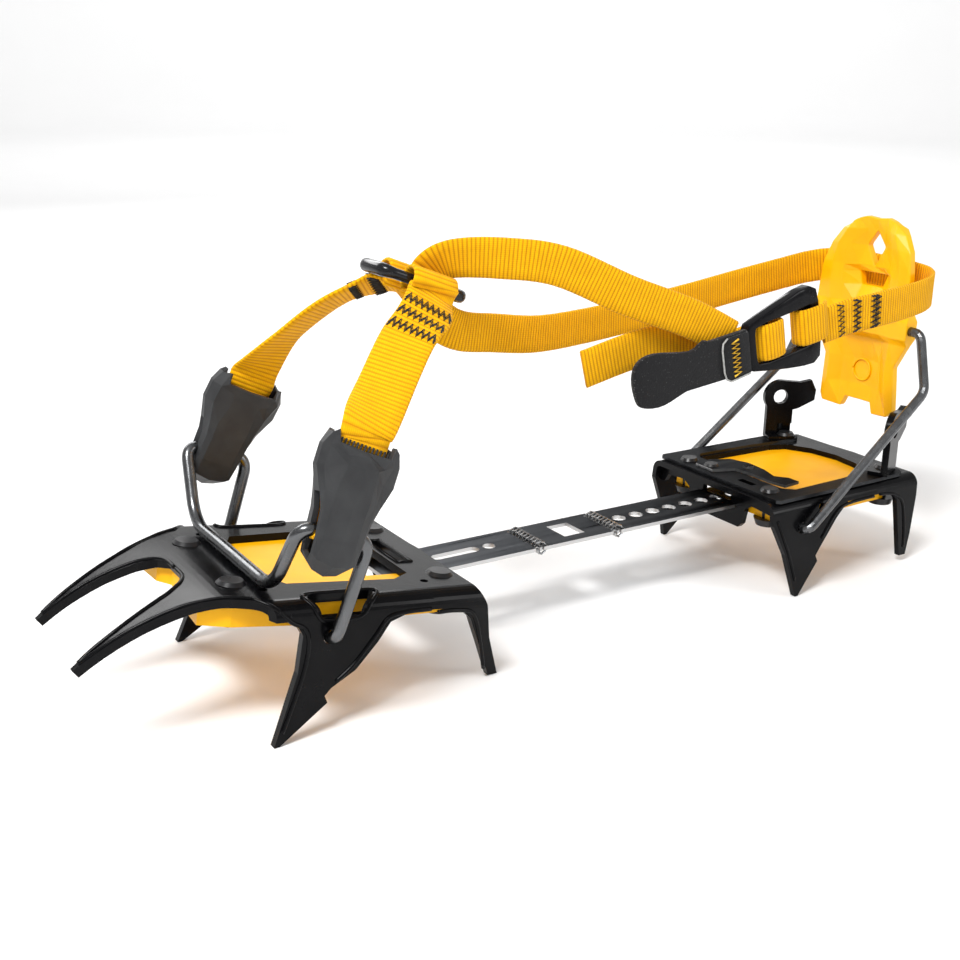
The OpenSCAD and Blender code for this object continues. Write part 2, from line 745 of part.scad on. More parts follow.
module heel_sheet() {
  difference() {
    union() {
      translate([0, 0, frame_top]) {
        bent_sheet(-4, 58, heel_half_w, heel_bend_r, heel_lean, heel_sheet_t)
          union() {
            along_z(-heel_bend_r, 1) mirrored_outline(heel_out_half);
            along_y(far_out / 2) polygon(ear_outline);
          }
        bent_sheet(58, heel_len + 8, heel_half_w, heel_bend_r, 0, heel_sheet_t)
          union() {
            along_z(-heel_bend_r, 1) mirrored_outline(heel_out_half);
            along_y(far_out / 2) polygon(heel_rear_outline);
          }
      }
      front_flange();
    }
    along_z(-20, 2) mirrored_outline(heel_window_half);
    for (y = [-heel_rivet[1], heel_rivet[1]]) {
      translate([heel_rivet[0], y, -20]) cylinder(h = 30, d = rivet_d + fit);
    }
    both_sides() translate([6, 26, -20]) cylinder(h = 30, d = rivet_d + fit);
    both_sides() translate([24, 60, -6.4]) rotate([90, 0, 0]) cylinder(h = 40, d = 3.4);
    translate([-10, -bar_w / 2 - fit, bar_z - bar_t - fit - heel_h])
      cube([10 + 2 * heel_sheet_t, bar_w + 2 * fit, bar_t + 2 * fit]);
    translate([-10, -9, bar_z + 0.9 - heel_h]) cube([10 + 2 * heel_sheet_t, 18, 2.6]);
  }
}

// Upright front edge of the heel frame: a middle block that the bar passes, and two arches
module front_flange() {
  low = -19;
  rotate([90, 0, 90])
    linear_extrude(heel_sheet_t)
      mirrored_flange([[0, frame_top - 0.5], [heel_half_w - 3, frame_top - 0.5],
        [heel_half_w - 1, -7], [heel_half_w - 0.6, -12.5], [heel_half_w - 4, -12], [33, -8.2],
        [22, -7.4], [18, -10], [16.5, low + 2], [14.5, low], [0, low]]);
}

module mirrored_flange(half) {
  polygon(concat(half, [for (i = [len(half) - 1 : -1 : 0]) [-half[i][0], half[i][1]]]));
}

module heel_top_plate() {
  arm_r = 5.5;
  arm_in = heel_half_w - top_arm_w;
  color(steel_grey)
    in_heel_frame()
      difference() {
        along_z(frame_top, 0)
          mirrored_outline(concat([[top_band_w, 0], [top_band_w, arm_in - 4],
            [top_band_w + 4, arm_in], [46, arm_in - 1]],
            [for (a = [-90 : 15 : 90])
              [post_x + 5 + arm_r * cos(a), post_y + arm_r * sin(a)]],
            [[46, heel_half_w - 1.5], [0.5, heel_half_w - 1], [-1, heel_half_w - 2.5],
              [-1, 0]]));
        for (y = [-heel_rivet[1], heel_rivet[1]]) {
          translate([heel_rivet[0], y, -20]) cylinder(h = 30, d = rivet_d + fit);
        }
        both_sides() translate([6, 26, -20]) cylinder(h = 30, d = rivet_d + fit);
        translate([latch_spot[0], latch_spot[1], -20]) cylinder(h = 30, d = 5.6);
        translate([4, -17, -5]) cube([3, 9, 10]);
      }
}

module both_sides_y() {
  children();
  mirror([0, 1]) children();
}

snow_heel_half = [[3.5, 0], [3.5, 31], [8, 34.3], [44, 34.3], [heel_len - 16, 33.5], [heel_len - 8, 24],
  [heel_len - 4, 0]];
snow_top = frame_top - heel_sheet_t;

// The groove under the plate clears the bar at any height of the heel unit
bar_groove_top = max(snow_top - snow_wall, bar_z + fit - heel_h);

module heel_snow_plate() {
  color(yellow)
    in_heel_frame()
      difference() {
        along_z(snow_top - snow_depth, snow_top) mirrored_outline(snow_heel_half);
        along_z(snow_top - snow_depth - 1, snow_top - snow_wall)
          difference() {
            translate([snow_wall, 0]) scale([0.94, 0.93]) mirrored_outline(snow_heel_half);
            for (y = [-heel_rivet[1], heel_rivet[1]]) {
              translate([heel_rivet[0], y]) circle(d = foot_d);
            }
            both_sides_y() translate([6, 26]) circle(d = foot_d);
          }
        translate([-10, -bar_w / 2 - 1, bar_groove_top - far_out])
          cube([far_out, bar_w + 2, far_out]);
        translate([peg_x, 0, -20]) cylinder(h = 30, d = 11);
        for (y = [-heel_rivet[1], heel_rivet[1]]) {
          translate([heel_rivet[0], y, -30]) cylinder(h = 40, d = rivet_d + fit);
        }
        both_sides() translate([6, 26, -30]) cylinder(h = 40, d = rivet_d + fit);
      }
}

post_foot_t = 1.6;
heel_rivet_spots = [[heel_rivet[0], -heel_rivet[1], post_foot_t],
  [heel_rivet[0], heel_rivet[1], post_foot_t], [6, -26, 0], [6, 26, 0]];

module heel_rivets() {
  color(steel_grey)
    in_heel_frame()
      for (spot = heel_rivet_spots) {
        translate([spot[0], spot[1], spot[2]])
          cylinder(h = rivet_head_h, d1 = 8.4, d2 = 6.6);
        translate([spot[0], spot[1], snow_top - snow_depth - foot_h / 2])
          cylinder(h = spot[2] - snow_top + snow_depth + foot_h / 2 + 0.2, d = rivet_d);
      }
}

module heel_rivet_feet() {
  color(rubber)
    in_heel_frame()
      for (spot = heel_rivet_spots) {
        translate([spot[0], spot[1], snow_top - snow_depth - foot_h])
          difference() {
            cylinder(h = foot_h, d1 = foot_d - 2, d2 = foot_d);
            translate([0, 0, foot_h / 2 - 0.1]) cylinder(h = foot_h, d = rivet_d + fit);
          }
      }
}

// Heel post: a foot under the rivet and an upright with a round eye and a rear hook
module heel_post() {
  eye_r = 8;
  neck = 6.5;
  in_heel_frame()
    translate([post_x, post_y, 0])
      rotate([0, 0, -post_turn])
        difference() {
          union() {
            translate([0, 4.5, 0])
              rotate([90, 0, 0])
                linear_extrude(post_t)
                  union() {
                    translate([-neck, 0]) square([2 * neck, post_hole_h]);
                    translate([0, post_hole_h]) circle(r = eye_r);
                    polygon([[0, post_hole_h + eye_r], [10, post_hole_h + 7], [15, post_hole_h + 8],
                      [17.5, post_hole_h + 3], [17, post_hole_h - 2], [9, post_hole_h - 6],
                      [0, post_hole_h - 8]]);
                  }
            along_z(0, post_foot_t)
              translate([-neck, -4.2])
                square([2 * neck, 8.7]);
          }
          translate([0, 0, post_hole_h])
            rotate([90, 0, 0])
              cylinder(h = 40, d = post_hole_d, center = true);
          rotate([0, 0, post_turn])
            translate([heel_rivet[0] - post_x, heel_rivet[1] - post_y, -1])
              cylinder(h = post_foot_t + 2, d = rivet_d + fit);
          rotate([0, 0, post_turn])
            translate([heel_rivet[0] - post_x, heel_rivet[1] - post_y, post_foot_t])
              cylinder(h = 5, d = 8.4 + fit);
        }
}

module far_heel_post() { color(steel_black) heel_post(); }
module near_heel_post() { color(steel_black) mirror([0, 1, 0]) heel_post(); }

// Latch: a sprung lever whose peg stands over one of the length holes
lever_t = 1.2;
latch_edge_y = 18;
latch_spot = [6, 11];

module latch_lever() {
  color(steel_black)
    in_heel_frame()
      difference() {
        along_z(fit / 3, fit / 3 + lever_t)
          polygon([[2, latch_edge_y - 1], [11, latch_edge_y], [20, 14], [23, 5], [22, -6],
            [19, -15], [23, -20], [23, -26], [14, -27], [12.5, -19], [13, -8], [12, 2],
            [2, 6]]);
        translate([latch_spot[0], latch_spot[1], -5]) cylinder(h = 10, d = 3.4);
        translate([peg_x, 0, -5]) cylinder(h = 10, d = 3);
      }
}

module latch_peg() {
  color(steel_grey)
    in_heel_frame() {
      translate([peg_x, 0, bar_z + fit - heel_h]) cylinder(h = heel_h - bar_z - fit + fit / 3, d = 5);
      translate([peg_x, 0, -1]) cylinder(h = 2.2 + lever_t, d = 2.9);
      translate([peg_x, 0, fit / 3 + lever_t]) cylinder(h = 1, d = 5);
    }
}

module latch_rivet() {
  color(steel_grey)
    in_heel_frame() {
      translate([latch_spot[0], latch_spot[1], fit / 3 + lever_t])
        cylinder(h = 1, d1 = 7, d2 = 5.4);
      translate([latch_spot[0], latch_spot[1], frame_top])
        cylinder(h = fit / 3 + lever_t - frame_top + 0.1, d = 3.4);
    }
}

// Heel bail: one wire from ear to ear, with a straight top rod that carries the cup
ear_wall_y = heel_half_w + (ear_drop - top_plate_t - heel_bend_r) * tan(heel_lean);
heel_leg_y = ear_wall_y + wire_r + 0.7;
wire_knee = [314, -41.5, 80];
cup_side_y = cup_half_w + 5.5;
wire_half = rounded([[heel_x + ear_x, -heel_leg_y + 3.2, heel_h - ear_drop],
  [heel_x + ear_x, -heel_leg_y - 1, heel_h - ear_drop], wire_knee,
  [wire_top_x, -cup_side_y, wire_top_z], [wire_top_x, -cup_half_w, wire_top_z]], 3.5);

module heel_wire() {
  foot_start = [heel_x + ear_x, -heel_leg_y + 3, heel_h - ear_drop];
  color(wire_grey) {
    both_sides() {
      rod(wire_half, wire_r, 12, [1, 0, 0]);
      translate(foot_start) rotate([-90, 0, 0]) cylinder(h = pin_in - foot_bend, r = wire_r);
    }
    translate([wire_top_x, 0, wire_top_z])
      rotate([90, 0, 0])
        cylinder(h = 2 * cup_half_w, r = wire_r, center = true);
  }
}

// Heel cup: a curved wall cut to its outline, with a cross boss for the wire
cup_back_x = wire_top_x + 8;
boss_wall = 2.4;
cup_boss_r = wire_r + fit + boss_wall;
cup_outline_half = [[0, cup_bottom_z + 5], [7.5, cup_bottom_z + 5], [9.5, cup_bottom_z],
  [20, cup_bottom_z + 1], [22, cup_bottom_z + 5], [20.5, cup_bottom_z + 20],
  [21, wire_top_z - 14], [cup_half_w, wire_top_z - 6], [cup_half_w, wire_top_z + 8],
  [cup_half_w - 2, wire_top_z + 26], [cup_half_w - 7, cup_top_z - 9],
  [12, cup_top_z - 1.5], [6, cup_top_z], [0, cup_top_z - 1]];

module cup_front_view() {
  polygon(concat(cup_outline_half, [for (i = [len(cup_outline_half) - 1 : -1 : 0])
    [-cup_outline_half[i][0], cup_outline_half[i][1]]]));
}

module heel_cup() {
  color(yellow)
    difference() {
      union() {
        intersection() {
          translate([cup_back_x - cup_r, 0, cup_bottom_z - 1])
            difference() {
              cylinder(h = cup_top_z - cup_bottom_z + 2, r = cup_r, $fn = 96);
              translate([0, 0, -1])
                cylinder(h = cup_top_z - cup_bottom_z + 4, r = cup_r - cup_wall, $fn = 96);
            }
          translate([cup_back_x - 30, 0, 0])
            rotate([90, 0, 90])
              linear_extrude(40)
                cup_front_view();
        }
        translate([wire_top_x, 0, wire_top_z])
          rotate([90, 0, 0])
            cylinder(h = 2 * cup_half_w - 1, r = cup_boss_r, center = true);
      }
      translate([wire_top_x, 0, wire_top_z])
        rotate([90, 0, 0])
          cylinder(h = far_out, d = wire_d + 2 * fit, center = true);
      translate([cup_back_x - 30, 0, 0])
        rotate([90, 0, 90])
          linear_extrude(60) {
            polygon([[-5, cup_top_z - 13], [0, cup_top_z - 22], [5, cup_top_z - 13],
              [0, cup_top_z - 6]]);
            polygon([[-10, cup_top_z - 27], [-6, cup_top_z - 31], [6, cup_top_z - 31],
              [10, cup_top_z - 27], [8, cup_top_z - 25], [-8, cup_top_z - 25]]);
          }
    }
}

// Buckle: an upright curved frame on the near side with two round bars
buckle_mid = [226.5, -38.6, 114];
buckle_tilt = 12;
buckle_t = 5;
rail = 4.5;
bar_r = 1.7;
strap_room = 1.2;
bar_spots = [-8, 12];

module in_buckle() {
  translate(buckle_mid) rotate([0, -buckle_tilt, 0]) children();
}

module buckle_frame() {
  color(steel_black)
    in_buckle()
      difference() {
        rotate([90, 0, 0])
          linear_extrude(buckle_t, center = true)
            difference() {
              polygon([[-buckle_len / 2, -buckle_h / 2 + 5], [-buckle_len / 2 + 4, -buckle_h / 2 + 2],
                [buckle_len / 2 - 5, -buckle_h / 2], [buckle_len / 2, -buckle_h / 2 + 5],
                [buckle_len / 2, buckle_h / 2 - 5], [buckle_len / 2 - 5, buckle_h / 2],
                [-buckle_len / 2 + 4, buckle_h / 2 - 2], [-buckle_len / 2, buckle_h / 2 - 5]]);
              translate([-buckle_len / 2 + rail, -long_strap_w / 2 - strap_room])
                square([buckle_len - 2 * rail, long_strap_w + 2 * strap_room]);
            }
        for (x = bar_spots) {
          translate([x, 0, 0]) cylinder(h = long_strap_w + 6, r = bar_r, center = true);
        }
      }
}

module buckle_bars() {
  color(steel_black)
    in_buckle()
      for (x = bar_spots) {
        translate([x, 0, 0]) cylinder(h = long_strap_w + 5.8, r = bar_r - 0.05, center = true);
      }
}

tab_pivot_x = -buckle_len / 2 - soft_gap;
tab_t = 2.5;
tab_out = 2.4;
// Outline of the tab: share of its length, then height in the buckle's frame
tab_outline = [[0, -8.5], [0, 9], [0.33, 10], [0.5, 9], [0.8, 13.5], [0.94, 12.5], [1, 7],
  [0.99, -2], [0.94, -5.5], [0.78, -7.5], [0.5, -5.5], [0.16, -9.5]];

module pull_tab() {
  color(rubber)
    in_buckle()
      translate([0, -tab_out, 0])
        rotate([90, 0, 0])
          linear_extrude(tab_t, center = true)
            polygon([for (p = tab_outline) [tab_pivot_x - p[0] * tab_len, p[1]]]);
}

module centred() {
  translate([-mid_x, 0, 0]) children();
}

centred() front_frame();
centred() front_snow_plate();
centred() front_rivets();
centred() front_rivet_feet();
centred() bar_front_plate();
centred() toe_bail();
centred() near_strap_cover();
centred() far_strap_cover();
centred() near_toe_strap();
centred() far_toe_strap();
centred() strap_ring();
centred() bar_middle_plate();
centred() hinge_spring_front();
centred() hinge_spring_rear();
centred() bar_rear_plate();
centred() heel_frame();
centred() heel_top_plate();
centred() heel_snow_plate();
centred() heel_rivets();
centred() heel_rivet_feet();
centred() near_heel_post();
centred() far_heel_post();
centred() latch_lever();
centred() latch_peg();
centred() latch_rivet();
centred() heel_wire();
centred() heel_cup();
centred() long_strap();
centred() rear_strap_loop();
centred() strap_tail();
centred() buckle_frame();
centred() buckle_bars();
centred() pull_tab();
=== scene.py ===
"""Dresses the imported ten-point crampon: materials, webbing, covers, buckle, tab, cup and light."""
import math

import bmesh
import bpy
import numpy as np
from mathutils import Matrix, Vector


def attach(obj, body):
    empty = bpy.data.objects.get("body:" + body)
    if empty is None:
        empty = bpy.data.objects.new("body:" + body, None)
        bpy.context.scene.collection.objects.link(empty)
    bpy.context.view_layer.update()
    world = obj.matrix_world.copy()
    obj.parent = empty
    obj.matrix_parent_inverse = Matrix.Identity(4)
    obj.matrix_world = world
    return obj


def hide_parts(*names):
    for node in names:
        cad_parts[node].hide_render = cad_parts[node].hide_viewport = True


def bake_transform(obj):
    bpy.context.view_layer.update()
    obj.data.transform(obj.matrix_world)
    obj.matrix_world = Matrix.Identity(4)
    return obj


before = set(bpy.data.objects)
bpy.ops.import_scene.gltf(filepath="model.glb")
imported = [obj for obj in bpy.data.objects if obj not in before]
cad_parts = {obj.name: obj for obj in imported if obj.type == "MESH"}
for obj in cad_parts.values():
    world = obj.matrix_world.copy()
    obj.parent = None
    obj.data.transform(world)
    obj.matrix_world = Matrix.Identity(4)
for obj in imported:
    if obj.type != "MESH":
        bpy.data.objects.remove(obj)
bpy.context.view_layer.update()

MM = 0.001
# The source's X runs from the front rivets; the row's runs from the middle of the part
MID_X = 138.1
FLIP = np.array([1, -1, 1])


def metres(points):
    """Points of the source, in millimetres, as points of the row."""
    p = np.array(points, float).reshape(-1, 3)
    return (p - [MID_X, 0, 0]) * MM


# Materials
# Sockets of the Mix node while it mixes colours
MIX_FACTOR, MIX_A, MIX_B, MIX_RESULT = 0, 6, 7, 2
# Depth of a moulded or painted grain, in metres
GRAIN_DEPTH = 0.0002
# Between the lengthwise threads of the webbing, in millimetres
WARP_PITCH = 0.75


def material(name, color, **sockets):
    """A Principled material. A socket's name has an underscore for each space."""
    mat = bpy.data.materials.new(name)
    mat.use_nodes = True
    shader = mat.node_tree.nodes["Principled BSDF"]
    shader.inputs["Base Color"].default_value = (*color, 1)
    for key, value in sockets.items():
        shader.inputs[key.replace("_", " ")].default_value = value
    mat.diffuse_color = (*color, 1)
    return mat


def noise(mat, scale, detail, stretch=(1, 1, 1)):
    """Noise in the piece's own coordinates."""
    tree = mat.node_tree
    coord = tree.nodes.new("ShaderNodeTexCoord")
    mapping = tree.nodes.new("ShaderNodeMapping")
    mapping.inputs["Scale"].default_value = stretch
    tex = tree.nodes.new("ShaderNodeTexNoise")
    tex.inputs["Scale"].default_value = scale
    tex.inputs["Detail"].default_value = detail
    tree.links.new(coord.outputs["Object"], mapping.inputs["Vector"])
    tree.links.new(mapping.outputs["Vector"], tex.inputs["Vector"])
    return tex.outputs["Fac"]


def remap(mat, value, low, high, out_low, out_high):
    """Stretches one range of values to another and stops at its ends."""
    node = mat.node_tree.nodes.new("ShaderNodeMapRange")
    node.inputs["From Min"].default_value = low
    node.inputs["From Max"].default_value = high
    node.inputs["To Min"].default_value = out_low
    node.inputs["To Max"].default_value = out_high
    mat.node_tree.links.new(value, node.inputs["Value"])
    return node.outputs["Result"]


def mix(mat, factor, first, second):
    """Mixes two colours, each a triple or the output of another node."""
    tree = mat.node_tree
    node = tree.nodes.new("ShaderNodeMix")
    node.data_type = "RGBA"
    for socket, color in ((MIX_A, first), (MIX_B, second)):
        if isinstance(color, tuple):
            node.inputs[socket].default_value = (*color, 1)
        else:
            tree.links.new(color, node.inputs[socket])
    tree.links.new(factor, node.inputs[MIX_FACTOR])
    return node.outputs[MIX_RESULT]


def into(mat, value, socket):
    """Links a value to one of the shader's sockets."""
    shader = mat.node_tree.nodes["Principled BSDF"]
    mat.node_tree.links.new(value, shader.inputs[socket])


def bump(mat, value, strength, distance):
    """Roughens the surface by a height."""
    node = mat.node_tree.nodes.new("ShaderNodeBump")
    node.inputs["Strength"].default_value = strength
    node.inputs["Distance"].default_value = distance
    mat.node_tree.links.new(value, node.inputs["Height"])
    into(mat, node.outputs["Normal"], "Normal")


def math_node(mat, op, a, b=None):
    """One sum on numbers or outputs of other nodes."""
    node = mat.node_tree.nodes.new("ShaderNodeMath")
    node.operation = op
    for i, v in enumerate((a, b)):
        if v is None:
            continue
        if isinstance(v, (int, float)):
            node.inputs[i].default_value = v
        else:
            mat.node_tree.links.new(v, node.inputs[i])
    return node.outputs[0]


def parts_of(mat, vector):
    """The X, Y and Z of a vector."""
    split = mat.node_tree.nodes.new("ShaderNodeSeparateXYZ")
    mat.node_tree.links.new(vector, split.inputs[0])
    return split.outputs


def speckled(name, dark, light, scale, rough, grain, **sockets):
    """A finish with a soft change of tone, a change of gloss and a fine grain."""
    mat = material(name, dark, **sockets)
    fac = noise(mat, scale, 4)
    into(mat, mix(mat, remap(mat, fac, 0.35, 0.7, 0, 1), dark, light), "Base Color")
    into(mat, remap(mat, noise(mat, scale * 0.4, 2), 0.3, 0.7, *rough), "Roughness")
    bump(mat, noise(mat, scale * 5, 3), grain, GRAIN_DEPTH)
    return mat


def webbing_material(name, face, groove_shade, pitch):
    """Ribbed webbing: u runs along the strap and v across it, both in millimetres. Its dips between
    ribs and between threads are painted darker, as painted shade.
    """
    mat = material(name, face, Sheen_Weight=0.05, Sheen_Roughness=0.5, Roughness=0.82,
                   Specular_IOR_Level=0.15)
    uv = mat.node_tree.nodes.new("ShaderNodeUVMap")
    uv.uv_map = "UVMap"
    along, across, _ = parts_of(mat, uv.outputs["UV"])
    rib = math_node(mat, "ABSOLUTE", math_node(
        mat, "SINE", math_node(mat, "MULTIPLY", along, math.pi / pitch)))
    thread = math_node(mat, "ABSOLUTE", math_node(
        mat, "SINE", math_node(mat, "MULTIPLY", across, math.pi / WARP_PITCH)))
    weave = math_node(mat, "MULTIPLY", math_node(mat, "POWER", rib, 0.6),
                      remap(mat, thread, 0, 1, 0.72, 1))
    # The weave's dips between ribs and between threads take the darker colour: painted shade, with a
    # random change of tone on top
    shade = math_node(mat, "MULTIPLY", weave,
                      remap(mat, noise(mat, 260, 4), 0.3, 0.7, 0.86, 1.05))
    into(mat, mix(mat, shade, groove_shade, face), "Base Color")
    bump(mat, weave, 0.55, 0.00035)
    return mat


def brushed(name, dark, light, rough, stretch, edge=None, **sockets):
    """Bare or dark steel. edge is the brightness of its sheared side faces."""
    mat = material(name, dark, Metallic=1.0, **sockets)
    fac = noise(mat, 300, 4, stretch)
    tone = mix(mat, remap(mat, fac, 0.3, 0.7, 0, 1), dark, light)
    if edge:
        coord = mat.node_tree.nodes.new("ShaderNodeTexCoord")
        upright = parts_of(mat, coord.outputs["Normal"])[2]
        flank = remap(mat, math_node(mat, "ABSOLUTE", upright), 0.5, 0.7, 1, 0)
        tone = mix(mat, flank, tone, (edge, edge, edge))
    into(mat, tone, "Base Color")
    into(mat, remap(mat, fac, 0.3, 0.7, *rough), "Roughness")
    bump(mat, noise(mat, 900, 3, stretch), 0.12, GRAIN_DEPTH)
    return mat


def felt_material():
    """Black napped cloth with the pale specks of its loops."""
    mat = material("black_felt", (0.012, 0.012, 0.013), Sheen_Weight=0.08, Sheen_Roughness=0.6,
                   Roughness=0.95, Specular_IOR_Level=0.15)
    cell = mat.node_tree.nodes.new("ShaderNodeTexVoronoi")
    cell.inputs["Scale"].default_value = 1000
    coord = mat.node_tree.nodes.new("ShaderNodeTexCoord")
    mat.node_tree.links.new(coord.outputs["Object"], cell.inputs["Vector"])
    cell.inputs["Randomness"].default_value = 0.45
    speck = remap(mat, cell.outputs["Distance"], 0.10, 0.38, 1, 0)
    some = remap(mat, noise(mat, 700, 2), 0.30, 0.60, 0.2, 1)
    fac = math_node(mat, "MULTIPLY", speck, some)
    into(mat, mix(mat, fac, (0.008, 0.008, 0.009), (0.12, 0.12, 0.12)), "Base Color")
    bump(mat, noise(mat, 1600, 4), 0.6, 0.0004)
    return mat


TOE_PITCH, LONG_PITCH = 1.7, 1.5
paint = speckled("black_paint", (0.0015, 0.0015, 0.002), (0.004, 0.004, 0.0045), 90,
                 (0.16, 0.27), 0.08, Specular_IOR_Level=0.12)
rivet_paint = speckled("rivet_paint", (0.004, 0.004, 0.005), (0.014, 0.014, 0.015), 240,
                       (0.26, 0.42), 0.15, Specular_IOR_Level=0.35)
bar_steel = brushed("spring_steel", (0.055, 0.057, 0.060), (0.11, 0.113, 0.118), (0.26, 0.40),
                    (0.06, 1, 1), 0.55, Specular_Tint=(0.35, 0.35, 0.35, 1))
spring_steel = brushed("coil_steel", (0.24, 0.245, 0.25), (0.45, 0.455, 0.46), (0.2, 0.32),
                       (1, 1, 1))
plate_steel = brushed("satin_plate", (0.030, 0.031, 0.033), (0.055, 0.057, 0.060), (0.28, 0.42),
                      (0.2, 1, 1), Specular_Tint=(0.5, 0.5, 0.5, 1))
wire_steel = brushed("wire_steel", (0.12, 0.123, 0.127), (0.145, 0.148, 0.153), (0.22, 0.3),
                     (1, 1, 0.3))
yellow_plate = speckled("yellow_plastic", (0.90, 0.42, 0.0), (0.97, 0.49, 0.0), 60,
                        (0.38, 0.5), 0.08, Specular_IOR_Level=0.25)
yellow_cup = speckled("yellow_cup_plastic", (0.90, 0.43, 0.0), (0.98, 0.50, 0.0), 45,
                      (0.30, 0.42), 0.06, Specular_IOR_Level=0.3)
rubber = speckled("charcoal_rubber", (0.022, 0.0225, 0.024), (0.032, 0.033, 0.0345), 120,
                  (0.42, 0.56), 0.12, Specular_IOR_Level=0.35)
ring_plastic = speckled("ring_plastic", (0.005, 0.005, 0.006), (0.010, 0.010, 0.011), 160,
                        (0.14, 0.22), 0.05, Specular_IOR_Level=0.3)
buckle_plastic = speckled("buckle_plastic", (0.004, 0.004, 0.005), (0.008, 0.008, 0.009), 120,
                          (0.07, 0.13), 0.03, Specular_IOR_Level=0.1)
# The second colour of each webbing is painted shade for the dips between its ribs and threads
toe_webbing = webbing_material("toe_webbing", (0.95, 0.50, 0.0), (0.55, 0.20, 0.0), TOE_PITCH)
long_webbing = webbing_material("long_webbing", (0.92, 0.47, 0.0), (0.42, 0.15, 0.0), LONG_PITCH)
black_thread = speckled("black_thread", (0.008, 0.008, 0.008), (0.03, 0.03, 0.03), 900,
                        (0.6, 0.8), 0.3)
yellow_thread = speckled("yellow_thread", (0.75, 0.38, 0.01), (0.95, 0.6, 0.05), 900,
                         (0.6, 0.8), 0.3)
pale_thread = speckled("pale_edge", (0.30, 0.30, 0.29), (0.5, 0.5, 0.48), 900, (0.7, 0.9), 0.3)
felt = felt_material()

CAD_FINISH = {
    "front_frame": paint, "front_snow_plate": yellow_plate, "front_rivets": rivet_paint,
    "front_rivet_feet": rivet_paint, "bar_front_plate": bar_steel,
    "bar_middle_plate": bar_steel, "bar_rear_plate": bar_steel,
    "hinge_spring_front": spring_steel, "hinge_spring_rear": spring_steel,
    "heel_frame": paint, "heel_top_plate": plate_steel, "heel_snow_plate": yellow_plate,
    "heel_rivets": rivet_paint, "heel_rivet_feet": rivet_paint, "near_heel_post": paint,
    "far_heel_post": paint, "latch_lever": bar_steel, "latch_peg": bar_steel,
    "latch_rivet": rivet_paint, "heel_wire": wire_steel, "buckle_bars": buckle_plastic}
for node, finish in CAD_FINISH.items():
    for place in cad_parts[node].material_slots:
        place.material = finish


# Mesh helpers
def dress(obj, body, node=None):
    """Gives a new piece its body, and hides the node that it stands for."""
    if node:
        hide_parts(node)
    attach(obj, body)


def piece(name, verts, faces, mat, smooth=True, uv=None):
    """A mesh from points in metres. uv has one pair for each corner of each face."""
    mesh = bpy.data.meshes.new(name)
    mesh.from_pydata([tuple(v) for v in verts], [], [tuple(f) for f in faces])
    if uv is not None:
        layer = mesh.uv_layers.new(name="UVMap")
        layer.data.foreach_set("uv", np.array(uv, np.float32).ravel())
    mesh.validate()
    mesh.polygons.foreach_set("use_smooth", [smooth] * len(mesh.polygons))
    mesh.materials.append(mat)
    mesh.update()
    obj = bpy.data.objects.new(name, mesh)
    bpy.context.scene.collection.objects.link(obj)
    return obj


def bevel(width, degrees, segments=2):
    """A bevel, its width in millimetres, of the edges that turn by more than an angle."""
    return "BEVEL", {"width": width * MM, "segments": segments, "limit_method": "ANGLE",
                     "angle_limit": math.radians(degrees)}


def finish_mesh(obj, *modifiers):
    """Adds the modifiers, each a type with its settings, and bakes them into the mesh."""
    for kind, settings in modifiers:
        mod = obj.modifiers.new(kind.lower(), kind)
        for key, value in settings.items():
            setattr(mod, key, value)
    bpy.context.view_layer.update()
    mesh = bpy.data.meshes.new_from_object(
        obj.evaluated_get(bpy.context.evaluated_depsgraph_get()))
    obj.modifiers.clear()
    obj.data = mesh
    return obj


def outward(obj):
    """Turns every face of a closed piece outward."""
    bm = bmesh.new()
    bm.from_mesh(obj.data)
    bmesh.ops.recalc_face_normals(bm, faces=bm.faces)
    bm.to_mesh(obj.data)
    bm.free()
    return obj


def smooth_path(p, steps):
    """The source's own curve through given points."""
    p = np.array(p, float)
    out = []
    for i in range(len(p) - 1):
        a, b, c, d = p[max(i - 1, 0)], p[i], p[i + 1], p[min(i + 2, len(p) - 1)]
        for k in range(steps):
            s = k / steps
            out.append((b * 2 + (c - a) * s + (a * 2 - b * 5 + c * 4 - d) * s * s
                        + (b * 3 - a - c * 3 + d) * s ** 3) / 2)
    out.append(p[-1])
    return np.array(out)


def units(v):
    """Vectors of the same directions, one long."""
    return v / np.maximum(np.linalg.norm(v, axis=-1, keepdims=True), 1e-9)


def resample(path, side, step):
    """Even steps along a path, with the side vectors carried along, and the distances."""
    d = np.r_[0, np.cumsum(np.linalg.norm(np.diff(path, axis=0), axis=1))]
    s = np.linspace(0, d[-1], max(2, int(round(d[-1] / step)) + 1))

    def at(v):
        return np.stack([np.interp(s, d, v[:, i]) for i in range(3)], 1)

    return at(path), at(side), s


def strap_frames(path, side):
    """Across a strap and out of its face, square to the path."""
    tan = units(np.gradient(path, axis=0))
    side = units(side - tan * (side * tan).sum(1, keepdims=True))
    return side, np.cross(tan, side)


